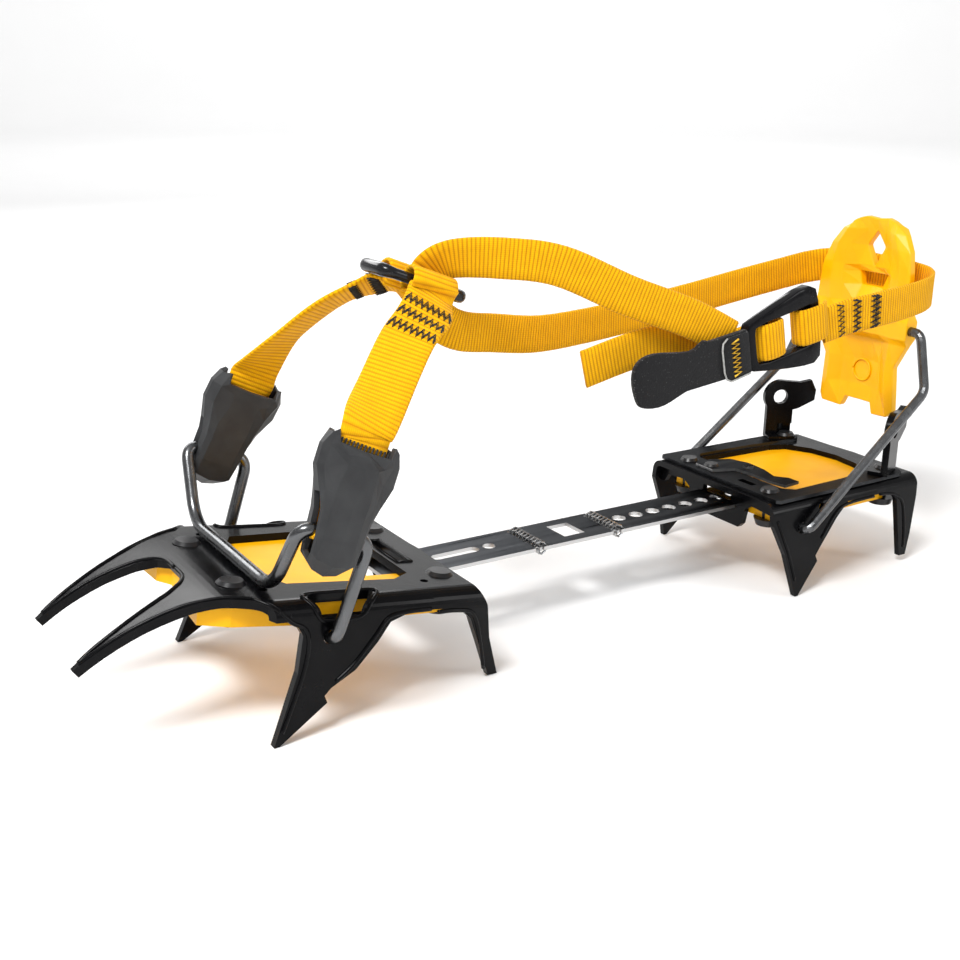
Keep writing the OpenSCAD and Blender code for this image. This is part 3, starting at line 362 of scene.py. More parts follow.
def ribbon(name, path, side, s, width, thick, pitch, mat, caps=(True, True), up=None):
    """Webbing along a path in source millimetres, with its cross ribs in the mesh."""
    if up is None:
        side, up = strap_frames(path, side)
    half, edge, rib_share = width / 2, 0.7, 0.16
    across = [-half + edge, -half * 0.5, 0, half * 0.5, half - edge]
    loop = [(x, 1) for x in across] + [(half, 0)] + [(x, -1) for x in across[::-1]] + [(-half, 0)]
    n = len(loop)
    swell = 1 - rib_share + rib_share * np.abs(np.sin(np.pi * s / pitch))
    rings = np.array([[path[i] + side[i] * x + up[i] * (y * thick / 2 * swell[i])
                       for x, y in loop] for i in range(len(path))])
    verts = metres(rings.reshape(-1, 3))
    faces, uv = [], []
    v_at = [x for x, _ in loop] + [-half - edge]
    for i in range(len(path) - 1):
        for k in range(n):
            a, b = i * n + k, i * n + (k + 1) % n
            faces.append((a, b, b + n, a + n))
            uv += [(s[i], v_at[k]), (s[i], v_at[k + 1]), (s[i + 1], v_at[k + 1]),
                   (s[i + 1], v_at[k])]
    for end, wanted in ((0, caps[0]), (len(path) - 1, caps[1])):
        if wanted:
            order = range(n) if end == 0 else range(n - 1, -1, -1)
            faces.append([end * n + k for k in order])
            uv += [(s[end], v_at[k]) for k in order]
    return outward(piece(name, verts, faces, mat, uv=uv))


def tube_mesh(path, r, sides):
    """Points and faces of a closed round tube along a path, in source millimetres."""
    path = np.array(path, float)
    tan = units(np.gradient(path, axis=0))
    # Any direction that no path starts in
    n = np.cross(tan[0], [0.31, 0.87, 0.38])
    verts, faces = [], []
    for i in range(len(path)):
        n = units(n - tan[i] * (n @ tan[i]))
        m = np.cross(tan[i], n)
        verts += [path[i] + (n * math.cos(a) + m * math.sin(a)) * r
                  for a in np.linspace(0, 2 * math.pi, sides, endpoint=False)]
    for i in range(len(path) - 1):
        faces += [(i * sides + k, i * sides + (k + 1) % sides,
                   (i + 1) * sides + (k + 1) % sides, (i + 1) * sides + k) for k in range(sides)]
    last = (len(path) - 1) * sides
    faces += [tuple(range(sides))[::-1], tuple(range(last, last + sides))]
    return verts, faces


def tubes(name, paths, r, mat, sides=8):
    """One piece of round tubes."""
    verts, faces = [], []
    for path in paths:
        v, f = tube_mesh(path, r, sides)
        faces += [tuple(i + len(verts) for i in face) for face in f]
        verts += v
    return outward(piece(name, metres(verts), faces, mat))


def placed(points, matrix, origin):
    """Points turned by a matrix and then moved."""
    return np.array(points, float) @ np.array(matrix).T + np.array(origin)


def turn(axis, degrees):
    """The matrix of a turn about an axis."""
    return np.array(Matrix.Rotation(math.radians(degrees), 3, axis))


def eased(u, start, span):
    """From 0 to 1 over a span, softly at both ends."""
    t = np.clip((u - start) / span, 0, 1)[:, None]
    return t * t * (3 - 2 * t)


# Sizes of the webbing and of its bar-tacks, all in source millimetres from here on
WEB_T, INNER_T = 1.6, 1.4
TOE_W, COVER_W, LONG_W = 19, 17.4, 15
CURVE_STEPS = 8
TOE_STEP, LONG_STEP = 0.42, 0.4
TACK_R, TACK_IN, TACK_REACH, TACK_PITCH, TACK_PROUD = 0.36, 1.5, 1.5, 1.05, 0.12
TACK_SIDES, RIB_STEPS = 5, 5


def zigzag(path, side, s, at, strap_w, face):
    """A bar-tack of thread across a strap, at a distance along it."""
    side, up = strap_frames(path, side)
    width = strap_w - TACK_IN
    count = int(width / TACK_PITCH)
    out = []
    for k in range(count + 1):
        along = at + (TACK_REACH if k % 2 else -TACK_REACH)
        i = int(np.clip(np.searchsorted(s, along), 0, len(path) - 1))
        out.append(path[i] + side[i] * (-width / 2 + width * k / count)
                   + up[i] * (face * (WEB_T / 2 + TACK_PROUD)))
    return out


def bar_tacks(name, strap, places, strap_w, body):
    """The bar-tacks at some places of a strap, on both of its faces."""
    rows = [zigzag(*strap, at, strap_w, face) for at in places for face in (-1, 1)]
    dress(tubes(name, rows, TACK_R, black_thread, TACK_SIDES), body)


# Places of the strap covers, on the loops of the toe bail, and of the ring
APEX = np.array([24.5, -52, 72.5])
COVER_LOOP, COVER_SPLAY, COVER_LEAN, COVER_HIGH = 21, -10, 5, 32
COVER_TURN = turn("Y", COVER_LOOP) @ turn("X", COVER_SPLAY) @ turn("Y", COVER_LEAN)
cover_tilt = math.radians(COVER_LOOP + COVER_LEAN)
cover_side = np.array([math.cos(cover_tilt), 0, -math.sin(cover_tilt)])
cover_axis = units(np.array([math.sin(cover_tilt), math.sin(math.radians(-COVER_SPLAY)),
                             math.cos(cover_tilt)]))
RING_MID, RING_TILT, RING_L, RING_W = np.array([82, 0, 141]), 21, 38, 22
RING_BAR_W, RING_BAR_T = 4, 3
ring_tilt = math.radians(RING_TILT)
ring_side = np.array([math.cos(ring_tilt), 0, -math.sin(ring_tilt)])
ring_up = np.array([math.sin(ring_tilt), 0, math.cos(ring_tilt)])

# The toe straps leave the covers, twist freely on the way and turn round the ring's long bar
TWISTED_SIDE = np.array([0.744, -0.622, -0.243])
LEAVE_COVER, MEET_RING = (1.4, 1.9), (4.3, 1.5)
LOOP_GAP, LOOP_SHIFT, LOOP_ANGLES = 1.2, 1.5, range(-40, 249, 48)
loop_r = math.hypot(RING_BAR_W, RING_BAR_T) / 2 + WEB_T / 2 + LOOP_GAP
ring_bar = RING_MID + ring_side * LOOP_SHIFT + [0, -(RING_W - RING_BAR_W) / 2, 0]
ring_turns = [ring_bar + [0, -loop_r * math.cos(math.radians(a)), 0]
              + ring_up * (loop_r * math.sin(math.radians(a))) for a in LOOP_ANGLES]
entry = [APEX + cover_axis * (COVER_HIGH + d) for d in (-10, -2, 4)]
NEAR_TOE = entry + [[51, -36, 113], [65, -26, 126], [76.5, -19, 133]] + ring_turns
FAR_TOE = entry + [[47, -36, 117], [61, -26, 130.5], [75, -18.5, 137.5]] + ring_turns
TACKS_FROM_END = 30


def toe_strap(where, route, tacks):
    """One toe strap with its bar-tacks. The far one's route is given for the near side."""
    path = smooth_path(route, CURVE_STEPS)
    u = np.arange(len(path)) / CURVE_STEPS
    leave, arrive = eased(u, *LEAVE_COVER), eased(u, *MEET_RING)
    side = (cover_side * (1 - leave) + TWISTED_SIDE * leave) * (1 - arrive) + ring_side * arrive
    if where == "far":
        path, side = path * FLIP, side * FLIP
    path, side, s = resample(path, side, TOE_STEP)
    name = where + "_toe_strap"
    strap = ribbon(name + "_webbing", path, side, s, TOE_W, WEB_T, TOE_PITCH, toe_webbing)
    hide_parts(name)
    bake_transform(strap)
    bar_tacks(name + "_tacks", (path, side, s), [s[-1] - TACKS_FROM_END - d for d in tacks],
              TOE_W, "toe_bail")


toe_strap("near", NEAR_TOE, (0, 1.3, 6.5, 7.8, 13, 14.3))
toe_strap("far", FAR_TOE, (0, 1.3, 9))

# Outer skin of a cover, from the mouth down the front: x across, z along and y outward
COVER_ROWS = [
    [(-12.8, 30.4, 2.4), (-10.9, 31.8, 2.8), (-9.9, 27.8, 3.5), (0, 27.4, 3.7),
     (9.9, 27.8, 3.5), (10.9, 31.8, 2.8), (12.8, 30.4, 2.4)],
    [(-14.9, 26.0, 1.6), (-12.4, 26.0, 2.6), (-6.5, 24.6, 4.4), (1.5, 26.0, 4.6),
     (8.0, 23.8, 4.4), (12.2, 25.5, 2.6), (14.9, 26.0, 1.6)],
    [(-14.9, 19.0, 1.6), (-12.6, 19.5, 2.4), (-6.0, 21.5, 6.0), (0, 22.0, 6.3),
     (5.0, 22.5, 6.1), (10.0, 18.5, 2.8), (14.9, 19.0, 1.6)],
    [(-11.6, 11.0, 2.6), (-10.4, 11.5, 3.8), (-7.6, 12.0, 5.7), (0, 12.0, 6.0),
     (5.6, 12.0, 5.8), (9.0, 11.2, 4.0), (11.6, 11.0, 2.6)],
    [(-9.9, 6.0, 3.2), (-9.2, 6.0, 4.2), (-7.0, 6.0, 5.5), (0, 6.0, 5.9),
     (5.4, 6.0, 5.6), (8.6, 6.0, 4.2), (9.9, 6.0, 3.2)],
    [(-9.0, -3.0, 3.4), (-8.6, -3.0, 4.2), (-6.8, -3.0, 5.2), (0, -3.0, 5.5),
     (5.6, -3.0, 5.3), (8.2, -3.0, 4.2), (9.0, -3.0, 3.4)],
    [(-8.7, -8.0, 3.2), (-8.2, -8.5, 3.9), (-6.4, -9.5, 4.3), (0, -10.6, 4.5),
     (6.0, -9.6, 4.3), (8.0, -8.6, 3.9), (8.7, -8.0, 3.2)],
    [(-7.4, -10.6, 0), (-6.8, -11.4, 0), (-4.6, -13.2, 0), (0, -14.4, 0),
     (4.6, -13.2, 0), (6.8, -11.4, 0), (7.4, -10.6, 0)]]
# How far the back lies behind the middle plane, across a row, and where it meets the tip
BACK_DEPTH = [1.0, 4.6, 5.6, 5.7, 5.6, 4.6, 1.0]
TIP_Z, TIP_FADE = -14, 8
COVER_WALL, CHEEK_ROWS = 1.9, 3
# The webbing's turn round the wire, inside the waist, and the stitches along the mouth
INNER_R, INNER_FLARE = 3.25, [(1.5, 22), (2.2, 14), (3.0, 6)]
INNER_TURN_POINTS, INNER_STEPS = 11, 3
MOUTH_STITCHES, STITCH_PITCH, STITCH_R = 13, 1.5, 0.38


def cover_shell(name, side, matrix, origin):
    """The moulded cover, its cheeks closed in the wide upper half and its waist open."""
    rows = [[(x, side * y, z) for x, z, y in row] for row in COVER_ROWS]
    for row in COVER_ROWS[-2::-1]:
        middle_z = row[3][1]
        deep = min(1.0, max(0.0, (middle_z - TIP_Z) / TIP_FADE))
        rows.append([(x, -side * (BACK_DEPTH[k] * deep + y * (1 - deep)), z)
                     for k, (x, z, y) in enumerate(row)])
    n, last = len(rows[0]), len(rows) - 1
    faces = [(i * n + k, i * n + k + 1, (i + 1) * n + k + 1, (i + 1) * n + k)
             for i in range(last) for k in range(n - 1)]
    faces += [(i * n + k, (i + 1) * n + k, (last - i - 1) * n + k, (last - i) * n + k)
              for i in range(CHEEK_ROWS) for k in (0, n - 1)]
    verts = metres(placed([p for row in rows for p in row], matrix, origin))
    shell = outward(piece(name + "_cover_shell", verts, faces, rubber, smooth=False))
    finish_mesh(shell, ("SOLIDIFY", {"thickness": COVER_WALL * MM, "offset": -1}),
                bevel(0.35, 14))
    dress(shell, name + "_cover", name + "_strap_cover")


def cover_webbing(name, matrix, origin):
    """The end of the toe strap inside a cover, turned round the wire."""
    loop = [(0, y, z) for y, z in INNER_FLARE]
    loop += [(0, INNER_R * math.cos(a), INNER_R * math.sin(a))
             for a in np.linspace(0, -math.pi, INNER_TURN_POINTS)]
    loop += [(0, -y, z) for y, z in INNER_FLARE[::-1]]
    path = placed(smooth_path(loop, INNER_STEPS), matrix, origin)
    side = np.tile(np.array(matrix) @ [1, 0, 0], (len(path), 1))
    path, side, s = resample(path, side, TOE_STEP)
    inner = ribbon(name + "_cover_webbing", path, side, s, COVER_W, INNER_T, TOE_PITCH,
                   toe_webbing)
    dress(inner, name + "_cover")


def cover_stitches(name, side, matrix, origin):
    """A row of dark stitches along a cover's mouth."""
    lines = []
    for k in range(MOUTH_STITCHES):
        x = STITCH_PITCH * (k - MOUTH_STITCHES // 2)
        lines.append(placed([(x, side * 1.6, 26.5), (x + 0.4, side * 1.35, 29.6)], matrix,
                            origin))
    thread = tubes(name + "_cover_stitches", lines, STITCH_R, black_thread, TACK_SIDES)
    dress(thread, name + "_cover")


mirror = np.diag(FLIP)
for name, side, matrix, origin in (("near", -1, COVER_TURN, APEX),
                                   ("far", 1, mirror @ COVER_TURN @ mirror, APEX * FLIP)):
    cover_shell(name, side, matrix, origin)
    cover_webbing(name, matrix, origin)
    cover_stitches(name, side, matrix, origin)

# The toe bail's corners on the near side, each with how much of it the bend takes
BAIL_R, BAIL_LEG_Y, BAIL_FOOT_Y, BAIL_LOOP_HALF = 2.3, 49.01, 42.01, 13
BAIL_CUTS, BEND_STEPS, BAIL_SIDES = (4.4, 6.5, 7, 10), 10, 16
loop_tilt = math.radians(COVER_LOOP)
loop_dir = np.array([math.cos(loop_tilt), 0, -math.sin(loop_tilt)])
BAIL_CORNERS = np.array([[24.5, -BAIL_FOOT_Y, 34], [24.5, -BAIL_LEG_Y - 0.6, 34],
                         APEX + loop_dir * BAIL_LOOP_HALF, APEX - loop_dir * BAIL_LOOP_HALF,
                         [8.6, -36, 51.1], [8.6, 0, 51.1]])


def toe_bail():
    """The toe bail, with the smooth bends of a formed wire."""
    path = [BAIL_CORNERS[0]]
    for i, cut in enumerate(BAIL_CUTS, 1):
        corner = BAIL_CORNERS[i]
        before = corner + units(BAIL_CORNERS[i - 1] - corner) * cut
        after = corner + units(BAIL_CORNERS[i + 1] - corner) * cut
        for k in range(BEND_STEPS + 1):
            t = k / BEND_STEPS
            path.append((before * (1 - t) + corner * t) * (1 - t)
                        + (corner * (1 - t) + after * t) * t)
    path += [p * FLIP for p in path[::-1]]
    wire = tubes("toe_bail_wire", [path], BAIL_R, wire_steel, BAIL_SIDES)
    dress(wire, "toe_bail", "toe_bail")


def strap_ring():
    """The ring, with rounded bars and fuller ends."""
    corner, corner_points, end_in, sides, fuller_by = 3.6, 7, 2.1, 12, 0.65
    half_l, half_w = RING_L / 2 - end_in, RING_W / 2 - RING_BAR_W / 2
    line = []
    for cx, cy, first in ((1, 1, 0), (-1, 1, 90), (-1, -1, 180), (1, -1, 270)):
        for a in np.radians(np.linspace(first, first + 90, corner_points)):
            line.append([cx * (half_l - corner) + corner * math.cos(a),
                         cy * (half_w - corner) + corner * math.sin(a), 0])
    line = np.array(line)
    verts = []
    for p, t in zip(line, units(np.roll(line, -1, 0) - np.roll(line, 1, 0))):
        outside = np.array([t[1], -t[0], 0])
        fuller = 1 + fuller_by * (abs(p[0]) / half_l) ** 3
        for a in np.linspace(0, 2 * math.pi, sides, endpoint=False):
            verts.append(p + outside * (RING_BAR_W / 2 * math.cos(a))
                         + [0, 0, RING_BAR_T / 2 * fuller * math.sin(a)])
    count = len(line)
    faces = [(i * sides + k, i * sides + (k + 1) % sides,
              (i + 1) % count * sides + (k + 1) % sides, (i + 1) % count * sides + k)
             for i in range(count) for k in range(sides)]
    verts = metres(placed(verts, turn("Y", RING_TILT), RING_MID))
    dress(outward(piece("strap_ring_rounded", verts, faces, ring_plastic)),
          "toe_bail", "strap_ring")


toe_bail()
strap_ring()

# Embossed ribs on the frames. Each frame is a sheet, flat in the middle and bent down at its sides
FRONT_H, FRONT_PITCH, FRONT_HALF, FRONT_BEND, FRONT_LEAN, REAR_LEAN = 49.7, 8, 45.5, 6, 4, -11
HEEL_X, HEEL_TOP, HEEL_HALF, HEEL_BEND, HEEL_LEAN = 235, 42.5 - 1.5, 39.5, 5, 8
SIDE_RIB_R, POINT_RIB_R, LIP_R, HEEL_RIB_R = 0.8, 0.75, 0.7, 0.7


def skin(x, q, half, bend, lean):
    """A place on a bent sheet's outer face: x along it, q across it from the middle."""
    flat, curve = half - bend, bend * math.radians(90 - lean)
    if q <= flat:
        return [x, q, 0]
    if q <= flat + curve:
        a = math.radians(90) - (q - flat) / bend
        return [x, flat + bend * math.cos(a), -bend + bend * math.sin(a)]
    down, tilt = q - flat - curve, math.radians(lean)
    return [x, flat + bend * math.cos(tilt) + math.sin(tilt) * down,
            -bend + bend * math.sin(tilt) - math.cos(tilt) * down]


def wall(x, z, half, bend, lean):
    """The same, from a height on the wall."""
    tilt = math.radians(lean)
    down = (-z - bend + bend * math.sin(tilt)) / math.cos(tilt)
    return skin(x, half - bend + bend * math.radians(90 - lean) + max(down, 0), half, bend, lean)


def front_skin(x, q):
    """A place on the front frame, from its distance across the sheet."""
    return skin(x, q, FRONT_HALF, FRONT_BEND, FRONT_LEAN)


def front_wall(x, z, lean=FRONT_LEAN):
    """A place on the front frame's side, from its height."""
    return wall(x, z, FRONT_HALF, FRONT_BEND, lean)


def heel_wall(x, z, lean=HEEL_LEAN):
    """A place on the heel frame's side, from its height."""
    return wall(x, z, HEEL_HALF, HEEL_BEND, lean)


def ribs(name, lines, matrix, origin, body, r):
    """Half-sunk ribs along lines given for the +Y side, and the same on the other side."""
    paths = []
    for line in lines:
        soft = smooth_path(line, RIB_STEPS)
        paths += [placed(soft, matrix, origin), placed(soft * FLIP, matrix, origin)]
    dress(tubes(name, paths, r, paint), body)


def horn_top(x):
    """Height of the front points' upper face: two arcs, as in the source."""
    r1, a1, a2, reach = 48, math.radians(22), math.radians(44), 51.6
    r2 = (reach - r1 * math.sin(a1)) / (math.sin(a2) - math.sin(a1))
    if x >= -r1 * math.sin(a1):
        return r1 * (math.sqrt(1 - (min(x, 0) / r1) ** 2) - 1)
    middle_x, middle_z = -(r1 - r2) * math.sin(a1), -r1 + (r1 - r2) * math.cos(a1)
    return middle_z + math.sqrt(r2 ** 2 - (middle_x - x) ** 2)


# Round the side slot and along the side points, from above and then by height on the walls
SLOT_LOOP = [(17.6, 39.8), (20.2, 37.1), (32, 36.9), (43.6, 37.1), (45.4, 40), (41.5, 44.5),
             (37.4, 48.9), (30, 49.7), (23, 49.2), (20.2, 45), (17.6, 39.8)]
SHOULDER = [(1, 37.5), (6, 43.5), (12, 49)]
SIDE_POINT = [(17.2, -9), (18.7, -15), (17.2, -25), (13.6, -37), (11.2, -44)]
SIDE_BACK = [(29.6, -28.2), (36.2, -22.4), (43.2, -13.6), (48.0, -7.4), (55.0, -6.0),
             (64.5, -5.7)]
REAR_POINT = [(67.5, -5.4), (75.5, -5.6), (82.5, -9.0), (88, -19), (93.5, -33)]
# The outer and the inner edge of a front point, from above
OUTER_EDGE = [(1, 37.5), (-4, 35), (-8, 33.1), (-17, 29.9), (-24, 28.0), (-30, 26.8),
              (-36, 25.6), (-42, 24.6), (-46, 23.8), (-49.5, 23.0)]
INNER_EDGE = [(-49.5, 22.2), (-46, 21.6), (-42, 21.3), (-36, 20.6), (-30, 19.4), (-25, 18.2),
              (-20, 16.6), (-16.5, 14.4), (-14.0, 12.2), (-12.0, 8), (-11.8, 1)]
BRIDGE_LIP = [[68.2, -12.6, 0], [68.2, 12.6, 0], [74, 12.9, 0], [74, -12.9, 0],
              [68.2, -12.6, 0]]
HEEL_FRONT_POINT = [(-1.8, -7), (0.6, -13), (4.0, -22), (7.4, -34)]
HEEL_BRACE = [(23.5, -18.5), (32, -9.2), (39.8, -6.2), (56, -5.6)]
HEEL_REAR_POINT = [(60, -5.4), (69.5, -7.0), (75.6, -12), (78.6, -24), (79.6, -34)]


def front_ribs():
    """The ribs of the front frame's sides and points, and the lip round its rear bridge."""
    matrix, origin = turn("Y", FRONT_PITCH), np.array([0, 0, FRONT_H])
    lines = [[front_skin(*p) for p in SLOT_LOOP],
             [front_skin(*p) for p in SHOULDER] + [front_wall(*p) for p in SIDE_POINT],
             [front_wall(*p) for p in SIDE_BACK],
             [front_wall(*p, REAR_LEAN) for p in REAR_POINT]]
    ribs("front_side_ribs", lines, matrix, origin, "front_unit", SIDE_RIB_R)
    edges = [[[x, y, horn_top(x)] for x, y in edge] for edge in (OUTER_EDGE, INNER_EDGE)]
    ribs("front_point_ribs", edges, matrix, origin, "front_unit", POINT_RIB_R)
    lip = tubes("front_bridge_lip", [placed(BRIDGE_LIP, matrix, origin)], LIP_R, paint)
    dress(lip, "front_unit")


def heel_ribs():
    """The ribs of the heel frame's points."""
    lines = [[heel_wall(*p) for p in HEEL_FRONT_POINT], [heel_wall(*p) for p in HEEL_BRACE],
             [heel_wall(*p, 0) for p in HEEL_REAR_POINT]]
    ribs("heel_side_ribs", lines, np.eye(3), np.array([HEEL_X, 0, HEEL_TOP]), "heel_unit",
         HEEL_RIB_R)


front_ribs()
heel_ribs()

# Rows of the heel cup from the bottom up. Each has heights, distances from the middle and places
# of the inner face, all from the edge to the middle
CUP_ROWS = [
    ([66, 63, 62, 67, 67], [21.8, 19.5, 9.5, 7.5, 0], [317.6, 316.6, 318.4, 319, 319.2]),
    ([74] * 5, [21.3, 17, 12, 6, 0], [317.4, 316.0, 319.4, 320.4, 320.6]),
    ([86] * 5, [20.4, 16.4, 11, 5.5, 0], [317.0, 315.8, 319.2, 320.6, 321.0]),
    ([97] * 5, [26.5, 17.6, 11.5, 5.5, 0], [316.6, 315.6, 318.0, 318.6, 318.6]),
    ([100] * 5, [27.3, 18, 12, 5.5, 0], [314.4] * 5),
    ([108] * 5, [27.4, 19, 12.5, 5.5, 0], [314.4] * 5),
    ([112] * 5, [27.4, 19.4, 13, 6, 0], [315.6, 315.4, 317.0, 317.4, 317.6]),
    ([120] * 5, [26.4, 19.6, 13.5, 6, 0], [315.4, 315.0, 316.6, 321.4, 321.8]),
    ([126] * 5, [25.7, 19.6, 14.2, 8, 0], [315.4, 315.0, 316.4, 321.8, 322.0]),
    ([129] * 5, [25.3, 19.4, 13.6, 7, 0], [315.6, 315.2, 316.8, 319.6, 321.8]),
    ([138] * 5, [22.6, 17.4, 12, 5, 0], [317.4, 315.6, 317.6, 321.6, 321.8]),
    ([145] * 5, [17.9, 13.6, 9.6, 5, 0], [319.0, 316.8, 318.4, 320.6, 321.4]),
    ([147, 148.6, 149.9, 151, 150.4], [14.6, 12.6, 10, 6, 0], [321.2, 319.4, 319.6, 320.0, 320.2])]
# The rod's rows are thick enough to hold the top rod of the wire
ROD_ROWS, WINDOW_ROW, DIAMOND_ROW = (4, 5), 7, 9
CUP_WALL, ROD_BACK_X = 3.3, 321.6
EMBOSS_X, EMBOSS_Z, EMBOSS_R = 320.5, 81, 5
EMBOSS_HIGH, EMBOSS_POINTS, EMBOSS_HOLLOW = 0.45, 25, 0.02


def cup_points():
    """Points of the cup's inner and outer faces, row by row from -Y to +Y."""
    inner, outer = [], []
    edge_to_edge = [0, 1, 2, 3, 4, 3, 2, 1, 0]
    for r, (heights, across, places) in enumerate(CUP_ROWS):
        for c, k in enumerate(edge_to_edge):
            y = across[k] * (1 if c > 4 else -1)
            back = ROD_BACK_X if r in ROD_ROWS else places[k] + CUP_WALL
            inner.append((places[k], y, heights[k]))
            outer.append((back, y, heights[k]))
    return inner, outer, len(edge_to_edge)


def cup_faces(n):
    """The inner face, with the strap window and the diamond left open."""
    # The diamond's corners keep half of each face
    halves = {(DIAMOND_ROW, 3): (0, 1, 3), (DIAMOND_ROW, 4): (0, 1, 2),
              (DIAMOND_ROW + 1, 3): (0, 2, 3), (DIAMOND_ROW + 1, 4): (1, 2, 3)}
    faces = []
    for r in range(len(CUP_ROWS) - 1):
        for c in range(n - 1):
            square = (r * n + c, r * n + c + 1, (r + 1) * n + c + 1, (r + 1) * n + c)
            if r == WINDOW_ROW and c in (3, 4):
                continue
            faces.append(tuple(square[i] for i in halves.get((r, c), (0, 1, 2, 3))))
    return faces


def heel_cup():
    """The moulded heel cup, with a small round emboss low in the middle of its inner face."""
    inner, outer, n = cup_points()
    front = cup_faces(n)
    total = len(inner)
    faces = front + [tuple(i + total for i in f[::-1]) for f in front]
    sides = [(f[i], f[(i + 1) % len(f)]) for f in front for i in range(len(f))]
    known = set(sides)
    faces += [(b, a, a + total, b + total) for a, b in sides if (b, a) not in known]
    cup = outward(piece("heel_cup_shell", metres(inner + outer), faces, yellow_cup, smooth=False))
    dress(finish_mesh(cup, bevel(0.45, 9)), "heel_cup", "heel_cup")
    disc = []
    for a in np.linspace(0, 2 * math.pi, EMBOSS_POINTS):
        y, z = EMBOSS_R * math.cos(a), EMBOSS_Z + EMBOSS_R * math.sin(a)
        disc.append((EMBOSS_X - EMBOSS_HOLLOW * y * y, y, z))
    emboss = tubes("heel_cup_emboss", [disc], EMBOSS_HIGH, yellow_cup, 6)
    dress(emboss, "heel_cup")


heel_cup()

# The long strap, from behind the cup along the far side, round the ring and back to the buckle
FAR_RUN = [[300, 34, 123], [270, 34.5, 119], [240, 31, 116], [205, 27, 113], [175, 21, 112],
           [145, 13, 113], [120, 7, 117], [104, 3, 120], [94, 1.2, 125]]
RING_PASS = [[88, 0.4, 132], [86.5, 0, 139], [88.5, -1, 145]]
NEAR_RUN = [[96, -5, 148.5], [112, -13, 148.5], [131, -21.5, 145.5], [156, -30, 134],
            [182, -35.2, 124], [201, -37.4, 114.5]]
# The strap turns back at its foremost X
TURN_X = 86.6
long_path = smooth_path(FAR_RUN + RING_PASS + NEAR_RUN, CURVE_STEPS)
turn_first = len(FAR_RUN) - 2
turn_last = len(FAR_RUN) + len(RING_PASS) + 1
share = np.clip((np.arange(len(long_path)) / CURVE_STEPS - turn_first)
                / (turn_last - turn_first), 0, 1)
long_side = np.stack([np.sin(np.pi * share), 0 * share, np.cos(np.pi * share)], 1)
long_path, long_side, long_s = resample(long_path, long_side, LONG_STEP)
long_side, long_up = strap_frames(long_path, long_side)
turn_at = int(np.argmin(np.abs(long_path[:, 0] - TURN_X)))


def nearest(run, x):
    """Index of the place with that X, out of some of the long strap's indices."""
    return int(run[np.argmin(np.abs(long_path[run, 0] - x))])


def far(x):
    """Index of the place on the far run with that X."""
    return nearest(np.arange(0, turn_at), x)


def near(x):
    """Index of the place on the near run with that X."""
    return nearest(np.arange(turn_at, len(long_path)), x)


# Each stretch ends at a place and lies on one body, or reaches across the joint to the next body;
# one on a single body is attached to it, and one across a joint is left unattached
STRETCHES = [
    (far(290), "heel_cup", None), (far(272), "heel_cup", "heel_wire"),
    (far(254), "heel_wire", "heel_unit"), (far(201), "heel_unit", "bar_rear"),
    (far(185), "bar_rear", "bar_middle"), (far(169), "bar_middle", "front_unit"),
    (far(100), "front_unit", "toe_bail"), (near(97), "toe_bail", None),
    (near(152), "toe_bail", "front_unit"), (near(159), "front_unit", "bar_middle"),
    (near(166), "bar_middle", "bar_rear"), (near(188), "bar_rear", "heel_unit"),
    (near(194), "heel_unit", "heel_wire"), (len(long_path) - 1, "heel_wire", "heel_cup")]


def long_strap():
    """The long strap, as one piece for each stretch."""
    start = 0
    for number, (stop, first, second) in enumerate(STRETCHES, 1):
        part = slice(start, stop + 1)
        strap = ribbon(f"long_strap_{number:02d}", long_path[part], long_side[part],
                       long_s[part], LONG_W, WEB_T, LONG_PITCH, long_webbing,
                       (number == 1, number == len(STRETCHES)), long_up[part])
        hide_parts("long_strap")
        if second:
            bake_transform(strap)
        else:
            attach(strap, first)
        start = stop


REAR_RUN = [[250, -38.6, 115], [264, -39.5, 117.8], [282, -40, 119.5], [301, -38.5, 121],
            [317, -35, 122.5], [327, -27, 124], [330, -14, 125], [328.5, 0, 126],
            [327, 14, 126.5], [321, 26, 126.5], [312, 32, 125], [300, 34, 123]]
TAIL_RUN = [[204.5, -33.2, 114], [190, -30.5, 115], [166, -27.5, 113], [140, -25.5, 107]]
REAR_TACKS = (9, 17, 18.2, 27, 28.2, 29.6)


def upright_strap(name, route):
    """Webbing that stands on its edge along a route."""
    path = smooth_path(route, CURVE_STEPS)
    path, side, s = resample(path, np.tile([0.0, 0, 1], (len(path), 1)), LONG_STEP)
    strap = ribbon(name, path, side, s, LONG_W, WEB_T, LONG_PITCH, long_webbing)
    return strap, (path, side, s)


def rear_and_tail():
    """The loop behind the cup with its bar-tacks, and the free end past the buckle."""
    rear, rear_line = upright_strap("rear_strap_webbing", REAR_RUN)
    dress(rear, "heel_cup", "rear_strap_loop")
    tail, (path, _, _) = upright_strap("strap_tail_webbing", TAIL_RUN)
    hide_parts("strap_tail")
    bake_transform(tail)
    bar_tacks("rear_strap_tacks", rear_line, REAR_TACKS, LONG_W, "heel_cup")


long_strap()
rear_and_tail()

